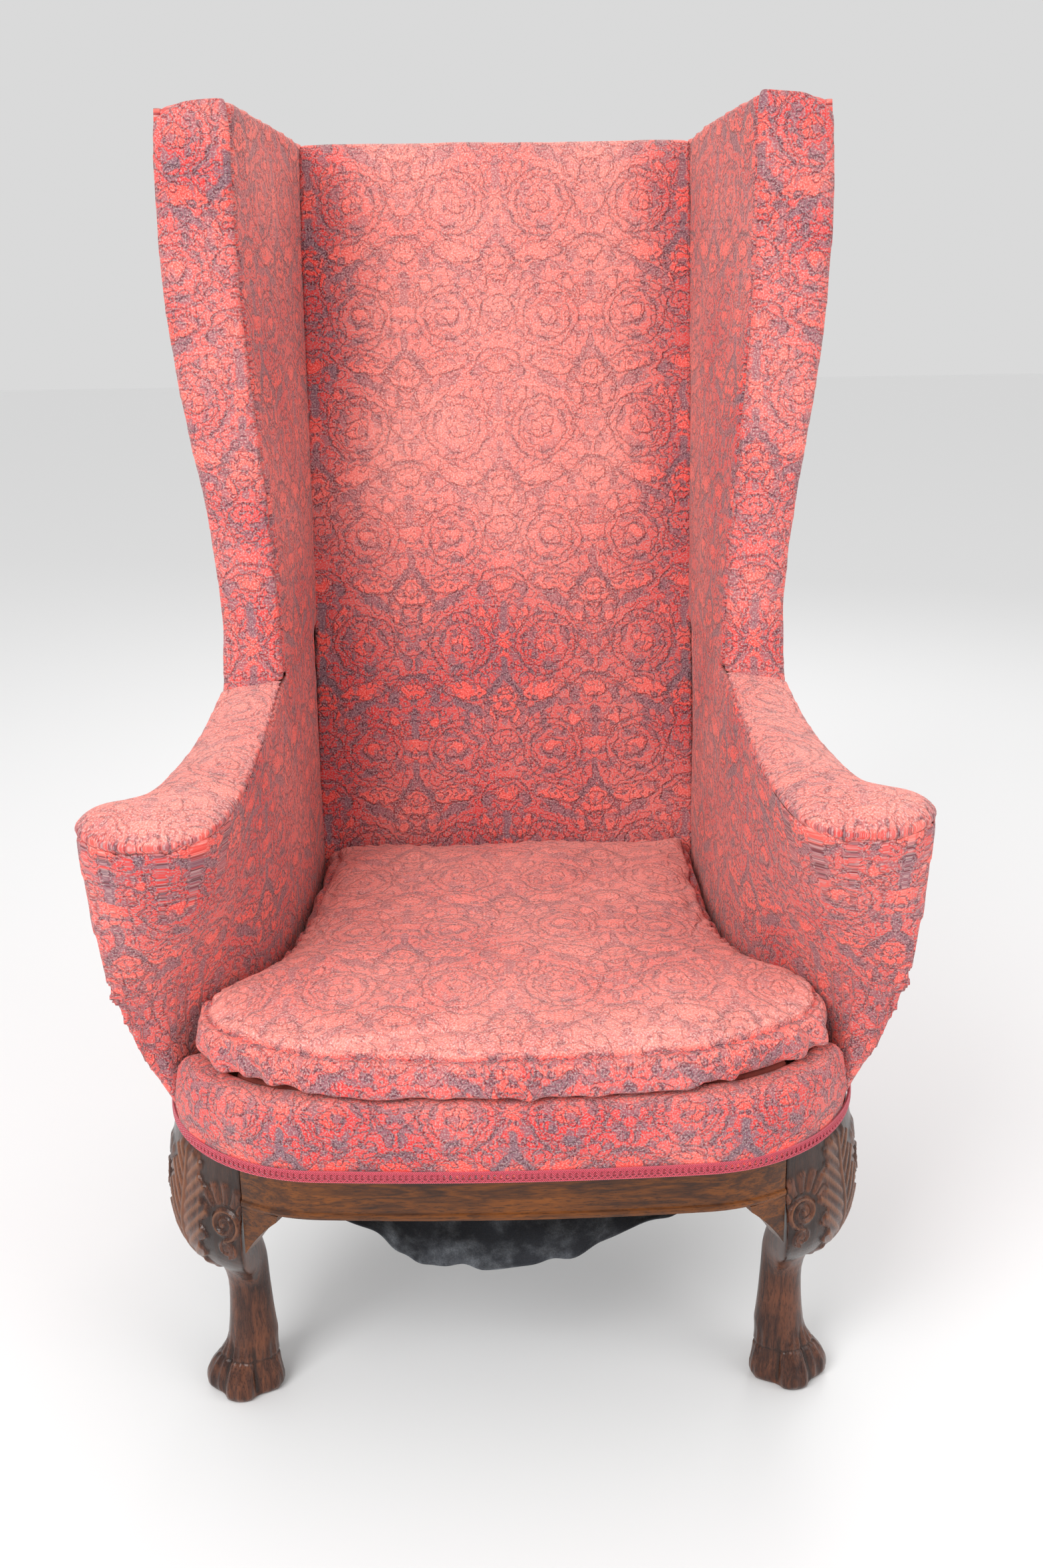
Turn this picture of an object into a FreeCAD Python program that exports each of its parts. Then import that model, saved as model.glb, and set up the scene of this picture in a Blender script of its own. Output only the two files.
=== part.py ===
"""Wingback armchair: hardwood frame, sprung seat, stuffed pads and covers, and a loose seat cushion.

Millimetres. +Z up, the chair faces -Y, +X is the sitter's left. The origin is on the floor, under the
middle of the chair. The seat follows one plan line, the seat line: a shallow bow across the front, a
round corner at each side, and straight sides that draw in to the back posts. The inside of the seat has
its own plan frame, plan(out, forward): 0, 0 is the foot of the inside back at its corner, and 1, 1 is as
wide and as far forward as the seat line reaches.
"""
import FreeCAD, Part
import math
import os

# Seat line, measured on the outer face of the braid
SEAT_FRONT_Y = -392.0
BOW_RADIUS = 2600.0
CORNER_RADIUS = 175.0
SEAT_HALF_WIDTH = 345.0

# Heights of the seat
RAIL_BOTTOM_Z = 268.0
SHOW_WOOD_HEIGHT = 45.0
RAIL_HEIGHT = 77.0
BORDER_HEIGHT = 78.0
CUSHION_BACK_THICKNESS = 64.0
CUSHION_FRONT_THICKNESS = 42.0
CUSHION_CROWN = 13.0

# Rails and the blocks above the front legs
RAIL_FACE_INSET = 7.0
RAIL_THICKNESS = 28.0
REBATE_DEPTH = 8.0
BEAD_RADIUS = 4.0
LEG_JOINT_DEG = 32.0
LEG_BACK_DEG = 84.0
LEG_BLOCK_WIDTH = 62.0
REAR_RAIL_THICKNESS = 26.0

# Cabriole legs and their three-toed feet
ANKLE_INSET = 70.0
ANKLE_SETBACK = 126.0
ANKLE_RADIUS = 23.0
SHANK_RADIUS = 21.0
KNEE_PUSH = 20.0
FOOT_HALF_WIDTH = 42.0
FOOT_LENGTH_FORWARD = 42.0
FOOT_LENGTH_BACK = 33.0
FOOT_PAD_HEIGHT = 19.0
FOOT_HEIGHT = 62.0
FOOT_TURN_OUT_DEG = 6.0
FOOT_LEAD = 10.0
EAR_LENGTH = 40.0
EAR_DEPTH = 52.0

# Back legs, which run up as the back posts
BACK_RAKE = 0.2
POST_WIDTH = 34.0
POST_DEPTH = 45.0
POST_BEND_RISE = 90.0
REAR_FOOT_SPLAY = 124.0
REAR_FOOT_TAPER = 5.0

# Inside back
BACK_BOTTOM_Y = 140.0
BACK_BOTTOM_Z = 455.0
BACK_HALF_WIDTH = 221.0
BACK_TOP_Z = 1243.0
CREST_STUFFING = 13.0
BACK_CROWN = 10.0
BACK_PAD_THICKNESS = 36.0

# Soft layers, tapes and trims
PAD_THICKNESS = 22.0
COVER_THICKNESS = 5.0
HESSIAN_THICKNESS = 1.5
WEBBING_WIDTH = 50.0
WEBBING_THICKNESS = 1.0
BRAID_HEIGHT = 12.0
BRAID_THICKNESS = 2.6
FIT_GAP = 0.6

# Seat springs
SPRING_ROWS = 3
SPRING_PITCH_X = 118.0
SPRING_PITCH_Y = 128.0
SPRING_CENTRE_Y = -105.0
SPRING_END_RADIUS = 42.0
SPRING_WAIST_RADIUS = 28.0
SPRING_WIRE = 3.6
SPRING_TURNS = 4
SPRING_STEPS = 9

# Arms
ARM_HEIGHT = 636.0
ARM_BOARD_THICKNESS = 16.0
ARM_TOP_THICKNESS = 18.0
ARM_TOP_CROWN = 11.0
TACK_RAIL_HEIGHT = 28.0

# Wings
WAIST_Z = 704.0
WING_RISE = 30.0
FACING_THICKNESS = 14.0
FACING_CROWN = 6.0
WING_POST_DEPTH = 30.0
WING_PAD_THICKNESS = 17.0
WING_RAIL_HEIGHT = 24.0

# Bottom cloth
CLOTH_THICKNESS = 1.6
CLOTH_SAG = 96.0

# Corner braces and screws
BRACE_HEIGHT = 40.0
SCREW_RADIUS = 2.2
SCREW_HEAD_RADIUS = 4.5
SCREW_LENGTH = 30.0

RAIL_TOP_Z = RAIL_BOTTOM_Z + RAIL_HEIGHT
POST_TOP_Z = BACK_TOP_Z - CREST_STUFFING
WING_APEX_Z = BACK_TOP_Z + WING_RISE
BRAID_Z = RAIL_BOTTOM_Z + SHOW_WOOD_HEIGHT
CREASE_Z = BRAID_Z + BORDER_HEIGHT
RAIL_INNER_INSET = RAIL_FACE_INSET + RAIL_THICKNESS
REBATE_INSET = RAIL_FACE_INSET + REBATE_DEPTH
COVER_FOOT_Z = BRAID_Z + 3.0
COVER_INSET = BRAID_THICKNESS + 3.6
POST_INNER_X = BACK_HALF_WIDTH + WING_PAD_THICKNESS + 2 * FIT_GAP
POST_OUTER_X = POST_INNER_X + POST_WIDTH
SPRING_TOP_Z = CREASE_Z - 16.0

CORNER_CENTRE_X = SEAT_HALF_WIDTH - CORNER_RADIUS
BOW_ANGLE = math.asin(CORNER_CENTRE_X / (BOW_RADIUS - CORNER_RADIUS))
BOW_DEG = math.degrees(BOW_ANGLE)
BOW_CENTRE_Y = SEAT_FRONT_Y + BOW_RADIUS
CORNER_CENTRE_Y = BOW_CENTRE_Y - (BOW_RADIUS - CORNER_RADIUS) * math.cos(BOW_ANGLE)
CORNER_CENTRE = (CORNER_CENTRE_X, CORNER_CENTRE_Y)

Z_AXIS = FreeCAD.Vector(0, 0, 1)


def vec(x, y, z=0.0):
    return FreeCAD.Vector(x, y, z)


def mix(a, b, share):
    """Point a moved towards point b by a share of the way."""
    return tuple(p + (q - p) * share for p, q in zip(a, b))


def lifted(points, z):
    """Plan points at a height."""
    return [(p[0], p[1], z) for p in points]


def flat_face(points):
    corners = [vec(*p) for p in points]
    return Part.Face(Part.makePolygon(corners + corners[:1]))


def cap(ring):
    """Faces that close a ring: one where it is flat, else a fan about its middle."""
    corners = [vec(*p) for p in ring]
    if Part.makePolygon(corners + corners[:1]).findPlane(0.001):
        return [flat_face(ring)]
    middle = tuple(sum(p[k] for p in ring) / len(ring) for k in range(3))
    return [flat_face((ring[i - 1], ring[i], middle)) for i in range(len(ring))]


def skinned(rings, short_diagonals=False):
    """Solid with facets from ring to ring, where each ring has the same number of points.

    With short diagonals, the two faces of a thin folded sheet split in the same way.
    """
    faces = cap(rings[0]) + cap(rings[-1])
    for lower, upper in zip(rings, rings[1:]):
        for i in range(len(lower)):
            a, b, c, d = lower[i - 1], lower[i], upper[i], upper[i - 1]
            if short_diagonals and math.dist(b, d) < math.dist(a, c):
                a, b, c, d = b, c, d, a
            for corners in ((a, b, c), (a, c, d)):
                if len(set(corners)) == 3:
                    faces.append(flat_face(corners))
    shell = Part.makeShell(faces)
    shell.sewShape()
    solid = Part.makeSolid(shell)
    if solid.Volume < 0:
        solid.reverse()
    return solid


def outline(points, steps):
    """Points along a closed line of arcs: even points are corners, odd points lie on the arc between."""
    result = []
    for i in range(0, len(points), 2):
        start, middle, end = points[i], points[i + 1], points[(i + 2) % len(points)]
        arc = Part.Arc(vec(*start), vec(*middle), vec(*end))
        result += [tuple(p) for p in arc.toShape().discretize(steps + 1)[:-1]]
    return result


def slab(points, bottom_z, top_z):
    """Upright prism on a plan outline."""
    return flat_face(lifted(points, bottom_z)).extrude(vec(0, 0, top_z - bottom_z))


def box(x0, x1, y0, y1, z0, z1):
    return Part.makeBox(x1 - x0, y1 - y0, z1 - z0, vec(x0, y0, z0))


def other_side(shape):
    """The same piece on the other side of the chair."""
    return shape.mirror(vec(0, 0, 0), vec(1, 0, 0))


def joined(shapes):
    """One solid from pieces that touch."""
    return shapes[0].fuse(shapes[1:]).removeSplitter()


def group(shapes):
    """Separate solids in one node."""
    return Part.makeCompound([s for shape in shapes for s in shape.Solids])


# Places on the plan


def back_y(z):
    """Depth of the inside back's face, at its edges."""
    return BACK_BOTTOM_Y + (z - BACK_BOTTOM_Z) * BACK_RAKE


def post_front_y(z):
    """Depth of the back post's front face above the seat."""
    return back_y(z) + BACK_PAD_THICKNESS + HESSIAN_THICKNESS + 2 * WEBBING_THICKNESS + 2 * FIT_GAP


# The back post stands upright up to a bend a little above the seat
POST_BEND_Z = RAIL_TOP_Z + POST_BEND_RISE
POST_SEAT_Y = post_front_y(POST_BEND_Z)


def tangent_side_deg():
    """Angle round the corner arc where the straight side leaves it, to pass clear of the back post."""
    dx = POST_OUTER_X + COVER_INSET + COVER_THICKNESS + FIT_GAP - CORNER_CENTRE_X
    dy = POST_SEAT_Y + POST_DEPTH - CORNER_CENTRE_Y
    reach = math.hypot(dx, dy)
    return math.degrees(math.atan2(dy, dx) - math.acos(CORNER_RADIUS / reach)) + 90.0


SIDE_DEG = tangent_side_deg()


def seat_point(angle_deg, inset):
    """Point on the round corner of the seat line, moved inwards by the inset."""
    angle = math.radians(angle_deg)
    radius = CORNER_RADIUS - inset
    return (CORNER_CENTRE_X + radius * math.sin(angle), CORNER_CENTRE_Y - radius * math.cos(angle))


def bow_point(x, inset):
    """Point on the front bow of the seat line."""
    radius = BOW_RADIUS - inset
    return (x, BOW_CENTRE_Y - math.sqrt(radius * radius - x * x))


def side_point(y, inset):
    """Point on the straight side of the seat line, at a depth y."""
    start = seat_point(SIDE_DEG, inset)
    return (start[0] - (y - start[1]) * math.tan(math.radians(SIDE_DEG - 90.0)), y)


def plan(out, forward):
    """Point in the plan frame of the inside of the seat."""
    return (BACK_HALF_WIDTH + out * (SEAT_HALF_WIDTH - BACK_HALF_WIDTH),
            BACK_BOTTOM_Y + forward * (SEAT_FRONT_Y - BACK_BOTTOM_Y))


def plan_normals(points):
    """Unit normals on the left of a plan line."""
    normals = []
    last = len(points) - 1
    for i in range(len(points)):
        a = points[max(i - 1, 0)]
        b = points[min(i + 1, last)]
        dx, dy = b[0] - a[0], b[1] - a[1]
        size = math.hypot(dx, dy)
        normals.append((-dy / size, dx / size))
    return normals


def moved_left(line, distance):
    """A line moved square to itself in plan, its heights kept."""
    return [(x + nx * distance, y + ny * distance, z)
            for (x, y, z), (nx, ny) in zip(line, plan_normals(line))]


# Sections carried along the seat line


def profile_face(profile, centre, radius, angle_deg):
    """Section of (inset, z) points, standing across an arc of the seat line."""
    angle = math.radians(angle_deg)
    return flat_face([(centre[0] + (radius - inset) * math.sin(angle),
                       centre[1] - (radius - inset) * math.cos(angle), z) for inset, z in profile])


def bow_run(profile):
    """Section carried along the front bow."""
    face = profile_face(profile, (0, BOW_CENTRE_Y), BOW_RADIUS, -BOW_DEG)
    return face.revolve(vec(0, BOW_CENTRE_Y), Z_AXIS, 2 * BOW_DEG)


def corner_run(profile, start_deg, end_deg):
    """Section carried round part of a corner."""
    face = profile_face(profile, CORNER_CENTRE, CORNER_RADIUS, start_deg)
    return face.revolve(vec(*CORNER_CENTRE), Z_AXIS, end_deg - start_deg)


def side_run(profile, end_y):
    """Section carried along the straight side, cut square at a depth y."""
    face = profile_face(profile, CORNER_CENTRE, CORNER_RADIUS, SIDE_DEG)
    side = math.radians(SIDE_DEG)
    length = end_y - SEAT_FRONT_Y
    run = face.extrude(vec(math.cos(side) * length, math.sin(side) * length))
    return run.common(box(0, 2 * SEAT_HALF_WIDTH, SEAT_FRONT_Y, end_y, 0, ARM_HEIGHT))


def front_run(profile, end_deg):
    """Section carried across the whole front, round to an angle on both corners."""
    corner = corner_run(profile, BOW_DEG, end_deg)
    return joined([bow_run(profile), corner, other_side(corner)])


# Seat frame


def rail_profile():
    """Rail section: bead below, show wood, and a rebate above for the covers."""
    bead_steps = 4
    points = []
    for i in range(bead_steps + 1):
        angle = math.pi * i / bead_steps
        points.append((RAIL_FACE_INSET - 0.6 * BEAD_RADIUS * math.sin(angle),
                       RAIL_BOTTOM_Z + BEAD_RADIUS * (1 - math.cos(angle))))
    return points + [(RAIL_FACE_INSET, BRAID_Z), (REBATE_INSET, BRAID_Z), (REBATE_INSET, RAIL_TOP_Z),
                     (RAIL_INNER_INSET, RAIL_TOP_Z), (RAIL_INNER_INSET, RAIL_BOTTOM_Z)]


def front_rail():
    """Bowed show-wood rail between the front legs."""
    return front_run(rail_profile(), LEG_JOINT_DEG)


def side_rail():
    """Show-wood rail from the front leg to the back leg."""
    joint = corner_run(rail_profile(), LEG_BACK_DEG, SIDE_DEG)
    return joined([joint, side_run(rail_profile(), POST_SEAT_Y)])


def rear_rail():
    """Rail between the back legs."""
    front = POST_SEAT_Y + 8.0
    return box(-POST_INNER_X, POST_INNER_X, front, front + REAR_RAIL_THICKNESS, RAIL_BOTTOM_Z, RAIL_TOP_Z)


def back_post():
    """Back leg and back post in one length, sawn to a curve below the seat and to a rake above."""
    stations = []
    for share in (0.0, 0.35, 0.7):
        z = RAIL_BOTTOM_Z * share
        stations.append((z, POST_SEAT_Y + REAR_FOOT_SPLAY * (1 - share) ** 1.3, REAR_FOOT_TAPER * (1 - share)))
    stations += [(RAIL_BOTTOM_Z, POST_SEAT_Y, 0.0), (RAIL_TOP_Z, POST_SEAT_Y, 0.0),
                 (POST_BEND_Z, post_front_y(POST_BEND_Z), 0.0), (POST_TOP_Z, post_front_y(POST_TOP_Z), 0.0)]
    rings = []
    for z, y, trim in stations:
        x0, x1 = POST_INNER_X + trim, POST_OUTER_X - trim
        rings.append([(x0, y + trim, z), (x1, y + trim, z), (x1, y + POST_DEPTH, z), (x0, y + POST_DEPTH, z)])
    return skinned(rings)


def block_points(inset, pushes=(0.0, 0.0, 0.0)):
    """Plan of the block above a front leg: its outer arc follows the seat line, then pushes out."""
    front = seat_point(LEG_JOINT_DEG, inset - pushes[0])
    ridge = seat_point((LEG_JOINT_DEG + LEG_BACK_DEG) / 2, inset - pushes[1])
    rear = seat_point(LEG_BACK_DEG, inset - pushes[2])
    rear_inner = (rear[0] - LEG_BLOCK_WIDTH, rear[1] + 2.0)
    front_inner = (front[0] + 2.0, front[1] + LEG_BLOCK_WIDTH)
    rear_middle = (rear[0] - LEG_BLOCK_WIDTH / 2, rear[1] + 2.0)
    chamfer = mix(rear_inner, front_inner, 0.5)
    chamfer = (chamfer[0] - 2.0, chamfer[1] + 2.0)
    front_middle = (front[0], front[1] + LEG_BLOCK_WIDTH / 2)
    return [front, ridge, rear, rear_middle, rear_inner, chamfer, front_inner, front_middle]


ANKLE_CENTRE = (SEAT_HALF_WIDTH - ANKLE_INSET, SEAT_FRONT_Y + ANKLE_SETBACK)
SHANK_DEGREES = (250, 318, 385, 422, 460, 497, 535, 572)
SHANK_STEPS = 5


def shank_section(z, radius, swell=0.0, pushes=(0.0, 0.0, 0.0)):
    """Leg section: a circle at the ankle that swells by a share towards the block above the knee."""
    points = []
    corners = block_points(RAIL_FACE_INSET, [push * KNEE_PUSH for push in pushes])
    for i, (degrees, corner) in enumerate(zip(SHANK_DEGREES, corners)):
        angle = math.radians(degrees)
        ring = (ANKLE_CENTRE[0] + radius * math.cos(angle), ANKLE_CENTRE[1] + radius * math.sin(angle))
        points.append(mix(ring, corner, swell if i < 3 else swell ** 2) + (z,))
    return outline(points, SHANK_STEPS)


# Drop below the rail as a share of the show wood, swell, and the pushes at the front, ridge and side
KNEE_SECTIONS = ((2.6, 0.18, (0.0, 0.2, 0.0)), (2.33, 0.42, (0.0, 0.4, 0.0)), (2.07, 0.64, (0.1, 0.6, 0.05)),
                 (1.8, 0.82, (0.2, 0.75, 0.2)), (1.5, 0.94, (0.25, 0.85, 0.4)),
                 (1.2, 0.98, (0.3, 0.9, 0.65)), (0.85, 1.0, (0.3, 0.9, 0.75)), (0.45, 1.0, (0.2, 0.75, 0.72)),
                 (0.0, 1.0, (0.0, 0.55, 0.62)), (-0.5, 1.0, (0.0, 0.38, 0.45)), (-1.0, 1.0, (0.0, 0.2, 0.2)))


def foot_section(z, scale, round_share):
    """Foot section: three toes and a heel, blending into the round ankle."""
    w = FOOT_HALF_WIDTH
    front = FOOT_LENGTH_FORWARD
    back = FOOT_LENGTH_BACK
    half = [(0.32 * w, 0.9 * front, 63), (0.46 * w, 0.68 * front, 50), (0.62 * w, 0.6 * front, 37),
            (w, 0.16 * front, 0), (0.78 * w, -0.35 * back, -35)]
    lobes = [(-u, v, 180 - d) for u, v, d in half[:1]] + [(0.0, front, 90)] + half + [(0.0, -back, -90)]
    lobes += [(-u, v, 180 - d) for u, v, d in reversed(half[1:])]
    turn = math.radians(FOOT_TURN_OUT_DEG)
    centre = mix((ANKLE_CENTRE[0] + FOOT_LEAD, ANKLE_CENTRE[1]), ANKLE_CENTRE, round_share)
    radius = ANKLE_RADIUS + 3.0
    points = []
    for lobe_u, lobe_v, degrees in lobes:
        angle = math.radians(degrees)
        ring = (radius * math.cos(angle), radius * math.sin(angle))
        u, v = mix((lobe_u * scale, lobe_v * scale), ring, round_share)
        points.append((centre[0] + u * math.cos(turn) + v * math.sin(turn),
                       centre[1] + u * math.sin(turn) - v * math.cos(turn), z))
    return outline(points, 3)


def front_leg():
    """Cabriole leg: three-toed foot, ankle, slim shank, swelling knee and the block above it."""
    pad = FOOT_PAD_HEIGHT
    rise = FOOT_HEIGHT - pad
    foot = skinned([foot_section(z, scale, share) for z, scale, share in (
        (0.0, 0.93, 0.0), (0.25 * pad, 1.0, 0.0), (0.85 * pad, 1.0, 0.0), (pad + 0.12 * rise, 0.95, 0.06),
        (pad + 0.35 * rise, 0.92, 0.3), (pad + 0.6 * rise, 0.9, 0.68), (pad + 0.8 * rise, 0.9, 0.9),
        (FOOT_HEIGHT, 0.9, 1.0))])
    knee = RAIL_BOTTOM_Z
    sections = [shank_section(FOOT_HEIGHT, ANKLE_RADIUS + 3.0), shank_section(knee - 188, ANKLE_RADIUS + 1.0),
                shank_section(knee - 165, ANKLE_RADIUS - 0.5), shank_section(knee - 138, SHANK_RADIUS)]
    for drop, swell, pushes in KNEE_SECTIONS:
        sections.append(shank_section(knee - drop * SHOW_WOOD_HEIGHT, SHANK_RADIUS, swell, pushes))
    rebated = skinned([outline([p + (z,) for p in block_points(REBATE_INSET)], SHANK_STEPS)
                       for z in (BRAID_Z, RAIL_TOP_Z)])
    return joined([foot, skinned(sections), rebated])


def knee_bracket(joint_deg, direction):
    """Ear glued beside a front leg, under the rail: direction -1 goes to the front, 1 to the side."""
    at = seat_point(joint_deg, RAIL_FACE_INSET - 1.0)
    turned = math.radians(joint_deg + direction * 6.0)
    along = (math.cos(turned) * direction, math.sin(turned) * direction)
    outward = (math.sin(turned), -math.cos(turned))

    def place(reach, drop):
        return vec(at[0] + along[0] * reach, at[1] + along[1] * reach, RAIL_BOTTOM_Z - drop)

    root, tip, lobe = place(0, 0), place(EAR_LENGTH, 0), place(EAR_LENGTH - 2.0, 7.0)
    low = place(0, EAR_DEPTH)
    curve = Part.Arc(lobe, place(EAR_LENGTH * 0.45, EAR_DEPTH * 0.52), low).toShape()
    edges = [Part.makeLine(root, tip), Part.makeLine(tip, lobe), curve, Part.makeLine(low, root)]
    depth = RAIL_THICKNESS - 4.0
    return Part.Face(Part.Wire(edges)).extrude(vec(-outward[0] * depth, -outward[1] * depth))


def octagon(x, y, radius, bottom_z, top_z, top_radius=None):
    """Short eight-sided pin, for a screw."""
    rings = []
    for z, r in ((bottom_z, radius), (top_z, top_radius or radius)):
        rings.append([(x + r * math.cos(math.pi * k / 4), y + r * math.sin(math.pi * k / 4), z)
                      for k in range(8)])
    return skinned(rings)


BRACE_TOP_Z = RAIL_TOP_Z - 6.0


def front_brace():
    """Brace glued across the front corner of the seat frame."""
    a = seat_point(16, RAIL_INNER_INSET + FIT_GAP)
    b = seat_point(86, RAIL_INNER_INSET + FIT_GAP)
    return slab([a, (a[0] - 4.0, a[1] + 34.0), (b[0] - 42.0, b[1] + 6.0), b], BRACE_TOP_Z - BRACE_HEIGHT,
                BRACE_TOP_Z)


def rear_brace():
    """Brace glued across the rear corner of the seat frame."""
    y = POST_SEAT_Y + 8.0
    front = y - 88.0
    inset = RAIL_INNER_INSET + FIT_GAP
    x, wide = side_point(y, inset)[0], side_point(front, inset)[0]
    return slab([(x, y), (wide, front), (wide - 26.0, front), (x - 84.0, y - 12.0), (x - 84.0, y)],
                BRACE_TOP_Z - BRACE_HEIGHT, BRACE_TOP_Z)


def brace_screws():
    """Countersunk screws, two in each brace on one side of the chair."""
    middle = seat_point(51, RAIL_INNER_INSET + 39.0)
    rear_x = side_point(POST_SEAT_Y, RAIL_INNER_INSET)[0]
    centres = [(middle[0] - 32.0, middle[1] - 22.0), (middle[0] + 8.0, middle[1] + 30.0),
               (rear_x - 34.0, POST_SEAT_Y - 14.0), (rear_x - 12.0, POST_SEAT_Y - 52.0)]
    head_z = BRACE_TOP_Z - 3.0
    screws = []
    for x, y in centres:
        screws.append(joined([octagon(x, y, SCREW_RADIUS, BRACE_TOP_Z - SCREW_LENGTH, head_z),
                              octagon(x, y, SCREW_RADIUS, head_z, BRACE_TOP_Z, SCREW_HEAD_RADIUS)]))
    return screws


# Arms

# Top seam of the inside arm: plan frame place, and height as a share from the arm to the waist
ARM_SEAM = ((0.012, -0.06, 1.0), (0.056, 0.15, 1.0), (0.097, 0.338, 1.0), (0.121, 0.451, 0.70),
            (0.145, 0.583, 0.48), (0.177, 0.714, 0.30), (0.226, 0.818, 0.17), (0.323, 0.887, 0.09),
            (0.50, 0.925, 0.03), (0.70, 0.936, 0.0), (0.911, 0.930, -0.03), (1.105, 0.914, -0.03),
            (1.258, 0.887, -0.02), (1.368, 0.851, 0.01))
# The same stations at the height of the cushion
ARM_AT_CUSHION = ((0.012, -0.002), (0.020, 0.177), (0.050, 0.340), (0.123, 0.470), (0.236, 0.558),
                  (0.373, 0.620), (0.510, 0.662), (0.647, 0.695), (0.776, 0.724), (0.905, 0.748),
                  (1.024, 0.771), (1.129, 0.789), (1.218, 0.805), (1.282, 0.816))
# Outer edge of the arm top, from the waist of the wing round the flared front
ARM_OUTER = ((0.621, 0.338, 0.84), (0.661, 0.414, 0.56), (0.726, 0.508, 0.38), (0.782, 0.620, 0.29),
             (0.847, 0.714, 0.28), (0.911, 0.773, 0.29), (1.056, 0.795, 0.29), (1.218, 0.801, 0.24),
             (1.331, 0.814, 0.15), (1.379, 0.833, 0.06))
ARM_FOOT_DEG = (68.0, 71.0, 74.0, 77.0, 80.0)
ARM_FOOT_START = len(ARM_SEAM) - len(ARM_FOOT_DEG)
ARM_MID_Z = 545.0
ARM_LOW_Z = 450.0
ARM_FACE_SWELL = 8.0
# Thickness of the arm post as a share of how far the seat spreads beyond the back
ARM_POST_SHARE = 0.1613


def arm_place(out, forward, rise):
    """Plan frame place at a height given as a share from the arm to the waist of the wing."""
    return plan(out, forward) + (ARM_HEIGHT + rise * (WAIST_Z - ARM_HEIGHT),)


def arm_levels():
    """Show face of the inside arm as level lines, from the top seam down to the braid."""
    top = [arm_place(*station) for station in ARM_SEAM]
    low = [plan(*station) + (ARM_LOW_Z,) for station in ARM_AT_CUSHION]
    middle = []
    for i, (seam, plan_low) in enumerate(zip(top, low)):
        x, y, _ = mix(seam, plan_low, (seam[2] - ARM_MID_Z) / (seam[2] - ARM_LOW_Z))
        middle.append((x, y - ARM_FACE_SWELL * min(1.0, i / 6), ARM_MID_Z))
    foot = []
    for i, (x, y, _) in enumerate(low):
        if i < ARM_FOOT_START:
            sink = max(0, i - 4) * 11.0
            foot.append((x + 0.1 * sink, y, CREASE_Z - 1.0 - sink))
        else:
            foot.append(seat_point(ARM_FOOT_DEG[i - ARM_FOOT_START], COVER_INSET) + (COVER_FOOT_Z,))
    knee = []
    for i, (above, below) in enumerate(zip(low, foot)):
        x, y, z = mix(above, below, 0.5)
        swell = ARM_FACE_SWELL if i >= ARM_FOOT_START else 0.0
        knee.append((x + 0.75 * swell, y - 0.4 * swell, z))
    return [top, middle, low, knee, foot]


def arm_pad_back(seam):
    """Back edge of the mitre between the inside arm and the arm top."""
    return [(x, y, z - ARM_TOP_THICKNESS) for x, y, z in moved_left(seam, WING_PAD_THICKNESS)]


def inside_arm_pad():
    """Stuffed inside arm, carried forward and round the flared front of the arm."""
    levels = arm_levels()
    backs = [arm_pad_back(levels[0])]
    depths = (PAD_THICKNESS, PAD_THICKNESS - 2.0, 0.5 * PAD_THICKNESS, 0.5 * REBATE_DEPTH)
    backs += [moved_left(line, depth) for line, depth in zip(levels[1:], depths)]
    levels[0] = [(x, y, z - FIT_GAP) for x, y, z in levels[0]]
    backs[0] = [(x, y, z - FIT_GAP) for x, y, z in backs[0]]
    return skinned([[line[i] for line in levels] + [line[i] for line in reversed(backs)]
                    for i in range(len(ARM_SEAM))])


def arm_top_pairs():
    """Seam point and outer point of each cross-section of the arm top."""
    seam = [arm_place(*station) for station in ARM_SEAM[2:]]
    edge = [arm_place(*station) for station in ARM_OUTER]
    outer = [edge[0], mix(edge[1], edge[2], 0.2), mix(edge[2], edge[3], 0.6), edge[4],
             mix(edge[4], edge[5], 0.8), mix(edge[5], edge[6], 0.2), mix(edge[5], edge[6], 0.7),
             mix(edge[6], edge[7], 0.3), edge[7], mix(edge[7], edge[8], 0.6), edge[8], edge[9]]
    return list(zip(seam, outer))


def arm_top_pad():
    """Crowned pad along the arm top, fanned out over the flared front."""
    rings = []
    mitre = arm_pad_back([arm_place(*station) for station in ARM_SEAM])[2:]
    for i, (a, b) in enumerate(arm_top_pairs()):
        crown = ARM_TOP_CROWN * min(0.15 + 0.4 * i, 1.0, math.dist(a, b) / 70.0)
        ring = []
        for share, rise in ((0.0, 0.0), (0.12, 0.5), (0.3, 0.87), (0.5, 1.0), (0.7, 0.87), (0.88, 0.5), (1.0, 0.0)):
            x, y, z = mix(a, b, share)
            ring.append((x, y, z + rise * crown))
        rings.append(ring + [(b[0], b[1], b[2] - ARM_TOP_THICKNESS), mitre[i]])
    return skinned(rings)


def arm_board():
    """Wooden arm under the top pad, from the waist to the flared front."""
    rings = []
    for a, b in arm_top_pairs()[:9]:
        inner, outer = mix(a, b, 0.45), mix(a, b, 0.88)
        top = min(a[2], b[2]) - ARM_TOP_THICKNESS - FIT_GAP
        rings.append([(inner[0], inner[1], top), (outer[0], outer[1], top),
                      (outer[0], outer[1], top - ARM_BOARD_THICKNESS),
                      (inner[0], inner[1], top - ARM_BOARD_THICKNESS)])
    return skinned(rings)


ARM_BOARD_REAR_Z = arm_place(*ARM_OUTER[0])[2] - ARM_TOP_THICKNESS - FIT_GAP


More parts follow.
